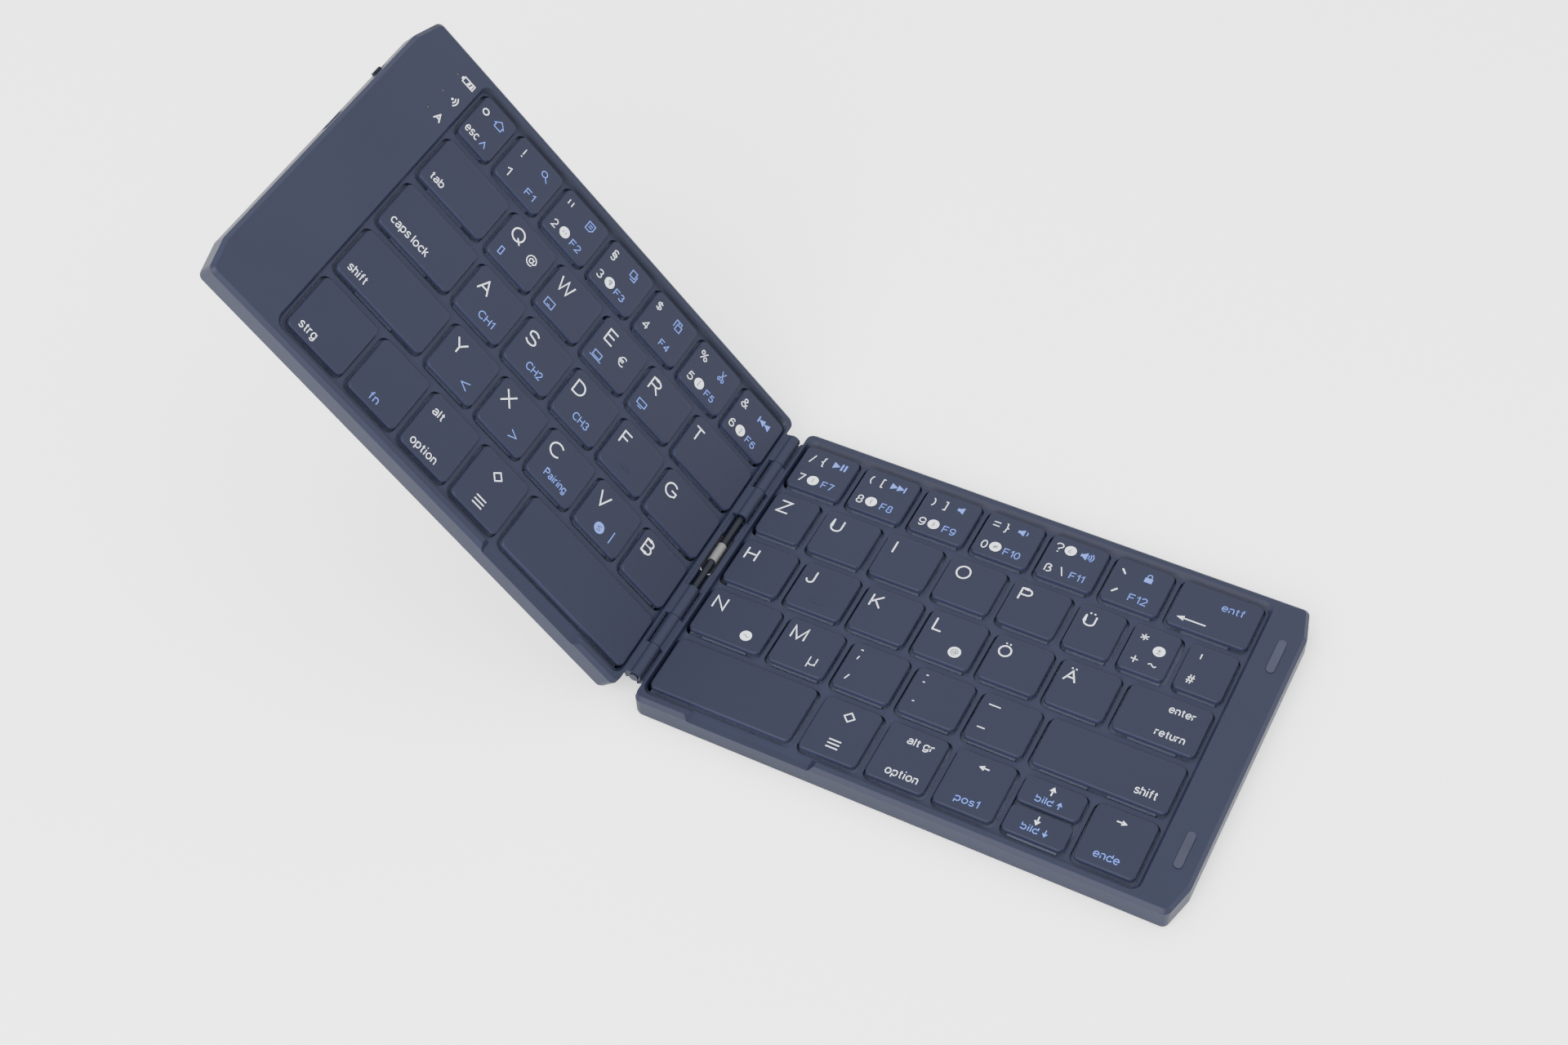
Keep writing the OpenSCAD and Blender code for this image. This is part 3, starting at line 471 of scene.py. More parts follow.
class Finishes:
    """Every material of the keyboard, by name."""

    def __init__(self, right: HalfPlace, left: HalfPlace) -> None:
        """Builds the materials.

        Args:
            right: where the right half lies.
            left: where the left half lies.
        """
        self.case_right = CasePlastic(NAVY_CASE, roughness=0.5, edge_mm=0.2, place=right).material("case_plastic_right")
        # The left well's rear wall gets a darker painted light than the right's, as that half is lit less.
        self.case_left = CasePlastic(NAVY_CASE, roughness=0.5, edge_mm=0.2, place=left, painted_wall_colour=(0.0092, 0.0105, 0.0195)).material("case_plastic_left")
        self.key = MouldedPlastic(NAVY_KEY, roughness=0.52, grain_mm=0.16, grain_depth_mm=0.005, shade=0.04, edge_mm=0.08).material("key_plastic")
        # Painted light: the key caps' sides are lighter than their tops, to lift the shade in the gaps between keys.
        self.key_side_painted_light = MouldedPlastic((0.016, 0.019, 0.038), roughness=0.55, grain_mm=0.16, edge_mm=0.08).material("key_side_plastic_painted_light")
        self.cover = MouldedPlastic((0.0080, 0.0098, 0.0185), roughness=0.55, grain_mm=0.3, grain_depth_mm=0.01).material("cover_plastic")
        # The links' own pale grey plastic, made lighter still as a painted light that lifts the shade in the holes
        # below the keys.
        self.links = MouldedPlastic((0.085, 0.095, 0.140), roughness=0.5, shade=0.03).material("link_plastic_painted_light")
        self.dark = MouldedPlastic((0.004, 0.005, 0.009), roughness=0.42, shade=0.1).material("dark_plastic")
        self.rubber = SoftRubber((0.018, 0.018, 0.02)).material("foot_rubber")
        self.bumper = SoftRubber((0.0115, 0.0138, 0.0265), 0.62).material("bumper_rubber")
        self.dome = SoftRubber((0.16, 0.165, 0.18), 0.5).material("dome_rubber")
        self.steel = WorkedMetal((0.52, 0.53, 0.54)).material("magnet_steel")
        # The plate's dark coating is painted a lighter blue grey, a painted light that lifts the shade deep in the key
        # openings.
        self.plate = WorkedMetal((0.070, 0.080, 0.125), 0.6, metallic=0.0).material("coated_plate_steel_painted_light")
        self.pin = WorkedMetal((0.035, 0.038, 0.055), 0.5).material("pin_steel")
        self.screw = WorkedMetal((0.03, 0.03, 0.036), 0.5, (1, 1, 1)).material("screw_steel")
        self.collar = WorkedMetal((0.105, 0.102, 0.105), 0.55, (1, 0.2, 1), 0.5).material("collar_aluminium")
        self.white = PrintedInk((0.50, 0.52, 0.56)).material("white_ink")
        self.blue = PrintedInk((0.058, 0.112, 0.42)).material("blue_ink")
        self.shadow_ink = PrintedInk((0.012, 0.015, 0.030)).material("navy_ink")
        # The switch film is painted a lighter blue grey than its own dark navy, a painted light that lifts the shade
        # deep in the key openings.
        self.film = GlossyFilm((0.070, 0.080, 0.125), 0.6).material("switch_film_painted_light")
        self.pouch = GlossyFilm((0.42, 0.43, 0.45), 0.3).material("battery_foil")
        self.board = GlossyFilm((0.015, 0.09, 0.045), 0.3, (0.05, 0.2, 0.1)).material("board_lacquer")
        self.lens = GlossyFilm((0.004, 0.005, 0.008), 0.4).material("lamp_lens")
        self.cable = GlossyFilm((0.006, 0.007, 0.012), 0.65).material("cable_film")

    def dress(self, names: Iterable[str], material: bpy.types.Material) -> None:
        """Gives a material to nodes of the frame.

        Args:
            names: the nodes.
            material: what they're made of.
        """
        for name in names:
            mesh = frame["nodes"][name].data
            mesh.materials.clear()
            mesh.materials.append(material)


# ---------------------------------------------------------------- mesh tools


def new_piece(name: str, mesh: bpy.types.Mesh, body: Optional[str], material: bpy.types.Material) -> bpy.types.Object:
    """Makes an object of a mesh and lets it ride on a body.

    Args:
        name: the piece's name.
        mesh: its mesh, in metres.
        body: the body that carries it, or None for a piece that rides on no body.
        material: its finish.

    Returns:
        The new object.
    """
    piece = bpy.data.objects.new(name, mesh)
    bpy.context.scene.collection.objects.link(piece)
    mesh.materials.clear()
    mesh.materials.append(material)
    if body is not None:
        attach(piece, body)
    return piece


def mesh_from(name: str, build: Callable[[bmesh.types.BMesh], None], matrix: Optional[Matrix] = None, smooth: float = 0.0) -> bpy.types.Mesh:
    """Builds a mesh through bmesh.

    Args:
        name: the mesh's name.
        build: fills the bmesh.
        matrix: moves the result.
        smooth: largest angle in degrees that is shaded smooth, or 0 for flat.

    Returns:
        The mesh.
    """
    work = bmesh.new()
    build(work)
    if matrix is not None:
        work.transform(matrix)
    bmesh.ops.recalc_face_normals(work, faces=work.faces)
    mesh = bpy.data.meshes.new(name)
    work.to_mesh(mesh)
    work.free()
    if smooth > 0:
        for polygon in mesh.polygons:
            polygon.use_smooth = True
        mesh.set_sharp_from_angle(angle=math.radians(smooth))
    return mesh


def rounded_outline(x0: float, x1: float, y0: float, y1: float, radius: float, steps: int = 6) -> List[Point2]:
    """Gives a rectangle with round corners, counter-clockwise from its lower right.

    Args:
        x0: left side.
        x1: right side.
        y0: near side.
        y1: far side.
        radius: corner radius.
        steps: segments in each corner.

    Returns:
        The outline's points.
    """
    corners = ((x1 - radius, y0 + radius, -90), (x1 - radius, y1 - radius, 0), (x0 + radius, y1 - radius, 90), (x0 + radius, y0 + radius, 180))
    return [(cx + radius * math.cos(math.radians(start + 90 * k / steps)), cy + radius * math.sin(math.radians(start + 90 * k / steps)))
            for cx, cy, start in corners for k in range(steps + 1)]


def loft(work: bmesh.types.BMesh, rings: Sequence[Sequence[Tuple[float, float, float]]]) -> None:
    """Joins closed rings of equal length into a solid with a face at each end.

    Args:
        work: the bmesh that gets the solid.
        rings: the rings in order.
    """
    made = [[work.verts.new(point) for point in ring] for ring in rings]
    count = len(made[0])
    for low, high in zip(made, made[1:]):
        for i in range(count):
            work.faces.new((low[i], low[(i + 1) % count], high[(i + 1) % count], high[i]))
    work.faces.new(list(reversed(made[0])))
    work.faces.new(made[-1])


def slab(work: bmesh.types.BMesh, outline: Sequence[Point2], z0: float, z1: float) -> None:
    """Adds a flat solid of an outline between two heights."""
    loft(work, [[(x, y, z0) for x, y in outline], [(x, y, z1) for x, y in outline]])


def ribbon(work: bmesh.types.BMesh, points: Sequence[Point2], width: float, closed: bool, z0: float, z1: float) -> None:
    """Adds a flat solid along a line, with mitred corners.

    Args:
        work: the bmesh that gets it.
        points: the line's points.
        width: its width.
        closed: True when the last point joins the first.
        z0: lower height.
        z1: upper height.
    """
    count = len(points)
    rings = []
    for i, point in enumerate(points):
        here = Vector(point)
        before = Vector(points[i - 1]) if (i or closed) else None
        after = Vector(points[(i + 1) % count]) if (i < count - 1 or closed) else None
        into = (here - before).normalized() if before is not None else (after - here).normalized()
        away = (after - here).normalized() if after is not None else into
        normal = Vector((-(into.y + away.y), into.x + away.x))
        normal.normalize()
        reach = width / 2 / max(0.45, normal.dot(Vector((-away.y, away.x))))
        left, right = here + normal * reach, here - normal * reach
        rings.append([work.verts.new(spot) for spot in
                      ((left.x, left.y, z1), (right.x, right.y, z1), (right.x, right.y, z0), (left.x, left.y, z0))])
    pairs = list(zip(rings, rings[1:])) + ([(rings[-1], rings[0])] if closed else [])
    for near, far in pairs:
        for k in range(4):
            work.faces.new((near[k], near[(k + 1) % 4], far[(k + 1) % 4], far[k]))
    if not closed:
        work.faces.new(list(reversed(rings[0])))
        work.faces.new(rings[-1])


def circle_points(cx: float, cy: float, radius: float, steps: int = 24, start: float = 0.0, sweep: float = 360.0) -> List[Point2]:
    """Gives points along a circle, or along an arc of it."""
    last = steps if sweep < 360 else steps - 1
    return [(cx + radius * math.cos(math.radians(start + sweep * k / steps)), cy + radius * math.sin(math.radians(start + sweep * k / steps)))
            for k in range(last + 1)]


# ---------------------------------------------------------------- lettering

Line = Tuple[List[Point2], bool]


def bow(cx: float, cy: float, rx: float, ry: float, start: float = 0.0, sweep: float = 360.0) -> List[Point2]:
    """Gives points along part of an ellipse."""
    whole = abs(sweep) >= 360
    steps = max(3, round(abs(sweep) / 20))
    return [(cx + rx * math.cos(math.radians(start + sweep * k / steps)), cy + ry * math.sin(math.radians(start + sweep * k / steps)))
            for k in range(steps if whole else steps + 1)]


def open_line(*parts: object) -> Line:
    """Joins points and bows into an open line."""
    points: List[Point2] = []
    for part in parts:
        points += part if isinstance(part, list) else [part]
    return points, False


def ring(cx: float, cy: float, rx: float, ry: float) -> Line:
    """Gives a closed ellipse."""
    return bow(cx, cy, rx, ry), True


def dot(x: float, y: float) -> Line:
    """Gives a short line that stands for a dot."""
    return [(x - 0.055, y), (x + 0.055, y)], False


def turned(lines: Sequence[Line], width: float, upside: bool = False) -> List[Line]:
    """Mirrors lines from left to right, and from top to bottom where asked."""
    return [([(width - x, 1.0 - y if upside else y) for x, y in points], closed) for points, closed in lines]


def make_alphabet() -> Dict[str, List[Line]]:
    """Gives the centre lines of a plain upright grotesque, with capitals one unit high.

    Returns:
        The lines of each character.
    """
    ln = open_line
    s_line = ln(bow(0.37, 0.74, 0.33, 0.26, 20, 200), bow(0.37, 0.26, 0.37, 0.26, 55, -215))
    p_line = ln((0, 0), (0, 1), (0.42, 1), bow(0.42, 0.735, 0.28, 0.265, 90, -180), (0, 0.47))
    brace = ln((0.32, 1.1), (0.2, 1.08), (0.17, 1.0), (0.17, 0.62), (0, 0.5), (0.17, 0.38), (0.17, 0), (0.2, -0.08), (0.32, -0.1))
    bracket = ln((0.25, 1.1), (0, 1.1), (0, -0.15), (0.25, -0.15))
    query = [ln(bow(0.28, 0.74, 0.27, 0.26, 165, -215), (0.28, 0.42), (0.28, 0.28)), dot(0.28, 0.04)]
    bars = [ln((0, 0.65), (0.6, 0.65)), ln((0, 0.35), (0.6, 0.35))]
    plus = [ln((0, 0.5), (0.6, 0.5)), ln((0.3, 0.2), (0.3, 0.8))]
    a_lines = [ln((0, 0), (0.46, 1), (0.92, 0)), ln((0.17, 0.36), (0.75, 0.36))]
    u_line = ln((0, 1), (0, 0.33), bow(0.37, 0.33, 0.37, 0.33, 180, 180), (0.74, 1))
    o_line = ring(0.49, 0.5, 0.49, 0.5)
    stem = ln((0, 1), (0, 0))
    short = ln((0, 0.72), (0, 0))
    bowl = ring(0.3, 0.36, 0.3, 0.36)
    return {
        "A": a_lines, "Ä": a_lines + [dot(0.3, 1.24), dot(0.62, 1.24)],
        "B": [ln((0, 0.54), (0, 1), (0.4, 1), bow(0.4, 0.77, 0.26, 0.23, 90, -180), (0, 0.54)),
              ln((0, 0.54), (0, 0), (0.44, 0), bow(0.44, 0.27, 0.28, 0.27, -90, 180), (0, 0.54))],
        "C": [ln(bow(0.46, 0.5, 0.46, 0.5, 45, 270))],
        "D": [([(0, 0), (0, 1), (0.34, 1)] + bow(0.34, 0.5, 0.44, 0.5, 80, -160) + [(0.34, 0)], True)],
        "E": [ln((0.68, 1), (0, 1), (0, 0), (0.7, 0)), ln((0, 0.53), (0.62, 0.53))],
        "F": [ln((0.64, 1), (0, 1), (0, 0)), ln((0, 0.51), (0.54, 0.51))],
        "G": [ln(bow(0.47, 0.5, 0.47, 0.5, 50, 262), (0.92, 0.22), (0.92, 0.47), (0.52, 0.47))],
        "H": [stem, ln((0.74, 0), (0.74, 1)), ln((0, 0.53), (0.74, 0.53))],
        "I": [stem],
        "J": [ln((0.5, 1), (0.5, 0.27), bow(0.25, 0.27, 0.25, 0.27, 0, -180)[1:])],
        "K": [stem, ln((0.7, 1), (0, 0.33)), ln((0.25, 0.57), (0.74, 0))],
        "L": [ln((0, 1), (0, 0), (0.56, 0))],
        "M": [ln((0, 0), (0, 1), (0.43, 0), (0.86, 1), (0.86, 0))],
        "N": [ln((0, 0), (0, 1), (0.74, 0), (0.74, 1))],
        "O": [o_line], "Ö": [o_line, dot(0.32, 1.24), dot(0.66, 1.24)],
        "P": [p_line],
        "Q": [o_line, ln((0.58, 0.28), (0.95, -0.06))],
        "R": [p_line, ln((0.4, 0.47), (0.76, 0))],
        "S": [s_line], "$": [s_line, ln((0.37, 1.13), (0.37, -0.13))],
        "T": [ln((0, 1), (0.8, 1)), ln((0.4, 1), (0.4, 0))],
        "U": [u_line], "Ü": [u_line, dot(0.22, 1.24), dot(0.52, 1.24)],
        "V": [ln((0, 1), (0.43, 0), (0.86, 1))],
        "W": [ln((0, 1), (0.3, 0), (0.6, 1), (0.9, 0), (1.2, 1))],
        "X": [ln((0, 0), (0.8, 1)), ln((0, 1), (0.8, 0))],
        "Y": [ln((0, 1), (0.42, 0.45), (0.84, 1)), ln((0.42, 0.45), (0.42, 0))],
        "Z": [ln((0.03, 1), (0.74, 1), (0, 0), (0.77, 0))],
        "a": [ln(bow(0.29, 0.5, 0.25, 0.22, 155, -155), (0.54, 0)),
              ln((0.54, 0.42), (0.25, 0.38), bow(0.22, 0.19, 0.22, 0.19, 100, 170), (0.4, 0.04), (0.54, 0.2))],
        "b": [stem, bowl], "d": [ln((0.6, 1), (0.6, 0)), bowl],
        "c": [ln(bow(0.32, 0.36, 0.32, 0.36, 45, 270))],
        "e": [ln((0.03, 0.37), (0.62, 0.37), bow(0.32, 0.36, 0.31, 0.36, 12, 306))],
        "f": [ln((0.36, 1), bow(0.34, 0.82, 0.18, 0.18, 90, 90)[1:], (0.16, 0)), ln((0, 0.7), (0.34, 0.7))],
        "g": [bowl, ln((0.6, 0.72), (0.6, -0.02), bow(0.31, -0.02, 0.29, 0.26, 0, -155)[1:])],
        "h": [stem, ln((0, 0.38), bow(0.27, 0.44, 0.27, 0.28, 180, -180), (0.54, 0))],
        "i": [short, dot(0, 1)],
        "k": [stem, ln((0.46, 0.72), (0, 0.27)), ln((0.18, 0.44), (0.5, 0))],
        "l": [stem],
        "n": [short, ln((0, 0.38), bow(0.26, 0.44, 0.26, 0.28, 180, -180), (0.52, 0))],
        "o": [ring(0.33, 0.36, 0.33, 0.36)],
        "p": [ln((0, 0.72), (0, -0.28)), bowl],
        "r": [short, ln((0, 0.36), bow(0.28, 0.42, 0.28, 0.28, 180, -100))],
        "s": [ln(bow(0.27, 0.53, 0.24, 0.19, 20, 200), bow(0.27, 0.185, 0.27, 0.185, 55, -215))],
        "t": [ln((0.16, 0.92), (0.16, 0.16), bow(0.32, 0.16, 0.16, 0.16, 180, 90)[1:]), ln((0, 0.7), (0.34, 0.7))],
        "u": [ln((0, 0.72), (0, 0.28), bow(0.26, 0.28, 0.26, 0.28, 180, 180)[1:]), ln((0.52, 0.72), (0.52, 0))],
        "µ": [ln((0, 0.72), (0, -0.28)), ln((0, 0.24), bow(0.26, 0.28, 0.26, 0.28, 190, 170)), ln((0.52, 0.72), (0.52, 0))],
        "ß": [ln((0, 0), (0, 0.76), bow(0.24, 0.76, 0.24, 0.24, 180, -180)[1:], (0.3, 0.54), bow(0.28, 0.27, 0.28, 0.27, 80, -190))],
        "0": [ring(0.31, 0.5, 0.31, 0.5)],
        "1": [ln((0, 0.76), (0.27, 1), (0.27, 0))],
        "2": [ln(bow(0.31, 0.7, 0.29, 0.3, 165, -190), (0.02, 0), (0.62, 0))],
        "3": [ln(bow(0.3, 0.745, 0.27, 0.255, 160, -225)), ln(bow(0.3, 0.27, 0.31, 0.27, 85, -245))],
        "4": [ln((0.48, 0), (0.48, 1), (0, 0.3), (0.64, 0.3))],
        "5": [ln((0.56, 1), (0.13, 1), (0.07, 0.53), bow(0.3, 0.33, 0.3, 0.33, 120, -275))],
        "6": [ring(0.31, 0.31, 0.31, 0.31), ln(bow(0.34, 0.5, 0.34, 0.5, 50, 130), (0, 0.31))],
        "7": [ln((0, 1), (0.6, 1), (0.22, 0))],
        "8": [ring(0.3, 0.755, 0.26, 0.245), ring(0.3, 0.27, 0.3, 0.27)],
        "9": [ring(0.31, 0.69, 0.31, 0.31), ln((0.62, 0.69), bow(0.28, 0.5, 0.34, 0.5, 0, -130))],
        "!": [ln((0, 1), (0, 0.3)), dot(0, 0.05)],
        '"': [ln((0, 1), (0, 0.68)), ln((0.24, 1), (0.24, 0.68))],
        "'": [ln((0, 1), (0, 0.68))],
        "§": [ln(bow(0.27, 0.85, 0.21, 0.17, 15, 200), (0.47, 0.5)), ring(0.27, 0.5, 0.24, 0.17),
              ln((0.07, 0.5), bow(0.27, 0.15, 0.21, 0.17, 35, -200))],
        "%": [ring(0.2, 0.77, 0.18, 0.22), ring(0.8, 0.23, 0.18, 0.22), ln((0.22, 0), (0.78, 1))],
        "&": [ln((0.8, 0), (0.22, 0.66), bow(0.38, 0.8, 0.2, 0.2, 200, -225), (0.14, 0.42), bow(0.31, 0.25, 0.3, 0.25, 150, 160), (0.76, 0.46))],
        "/": [ln((0, 0), (0.36, 1))], "\\": [ln((0, 1), (0.36, 0))],
        "{": [brace], "}": turned([brace], 0.32),
        "[": [bracket], "]": turned([bracket], 0.25),
        "(": [ln(bow(0.5, 0.48, 0.5, 0.7, 120, 120))], ")": [ln(bow(0, 0.48, 0.5, 0.7, 60, -120))],
        "=": bars, "≠": bars + [ln((0.12, 0.1), (0.48, 0.9))],
        "?": query, "¿": turned(query, 0.56, True),
        "*": [ln((0.25 - 0.25 * math.cos(a), 0.75 - 0.25 * math.sin(a)), (0.25 + 0.25 * math.cos(a), 0.75 + 0.25 * math.sin(a)))
              for a in (math.pi / 2, math.pi / 6, -math.pi / 6)],
        "+": plus, "±": plus + [ln((0, 0.02), (0.6, 0.02))],
        "~": [ln([(k / 10, 0.4 + 0.13 * math.sin(math.pi * 2 * k / 10)) for k in range(11)])],
        "#": [ln((0.16, 0), (0.32, 1)), ln((0.46, 0), (0.62, 1)), ln((0.02, 0.33), (0.7, 0.33)), ln((0.08, 0.67), (0.76, 0.67))],
        "@": [ring(0.48, 0.45, 0.2, 0.22), ln((0.7, 0.68), (0.68, 0.3), (0.8, 0.22), bow(0.5, 0.45, 0.5, 0.5, 0, 300))],
        "€": [ln(bow(0.5, 0.5, 0.4, 0.5, 50, 260)), ln((0, 0.6), (0.6, 0.6)), ln((0, 0.42), (0.56, 0.42))],
        ";": [dot(0.02, 0.65), ln((0.04, 0.1), (0, -0.18))], ":": [dot(0, 0.65), dot(0, 0.05)],
        ",": [ln((0.06, 0.12), (0, -0.18))], ".": [dot(0, 0.05)],
        "_": [ln((0, 0), (1, 0))], "-": [ln((0, 0), (1, 0))], "|": [stem],
        "¶": [ln((0.3, 0), (0.3, 1)), ln((0.48, 0), (0.48, 1), (0.2, 1), bow(0.2, 0.76, 0.2, 0.24, 100, 170))],
        "≤": [ln((0.6, 1), (0, 0.62), (0.6, 0.24)), ln((0, 0), (0.6, 0))],
    }


# ---------------------------------------------------------------- legends


class Ink(Enum):
    """The colours that legends are printed in."""

    WHITE = "white"
    BLUE = "blue"
    NAVY = "navy"


@dataclass(frozen=True)
class Mark:
    """One printed mark on a key. Distances run from the key's rear left corner, to the right and to the front.

    Args:
        glyph: letters, or the name of a sign after a colon.
        x: left side in millimetres.
        y: rear side in millimetres.
        w: width in millimetres.
        h: height in millimetres.
        ink: colour.
        weight: width of its strokes in millimetres.
    """

    glyph: str
    x: float
    y: float
    w: float
    h: float
    ink: Ink = Ink.WHITE
    weight: float = 0.3


def letter(glyph: str, x: float, y: float, w: float, h: float = 4.1) -> Mark:
    """Gives a large white letter in a thin weight."""
    return Mark(glyph, x, y, w, h, Ink.WHITE, 0.36)


def word(glyph: str, x: float, y: float, w: float, h: float) -> Mark:
    """Gives a small white word."""
    return Mark(glyph, x, y, w, h, Ink.WHITE, 0.23)


def blue(glyph: str, x: float, y: float, w: float, h: float) -> Mark:
    """Gives a blue mark."""
    return Mark(glyph, x, y, w, h, Ink.BLUE, 0.23)


def disc(glyph: str, x: float, y: float, w: float, h: float, ink: Ink = Ink.WHITE, size: float = 3.1) -> Tuple[Mark, Mark]:
    """Gives a filled disc about a centre, with a glyph of the key's own colour in it."""
    return (Mark(":disc", x - size / 2, y - size / 2, size, size, ink), Mark(glyph, x - w / 2, y - h / 2, w, h, Ink.NAVY, 0.24))


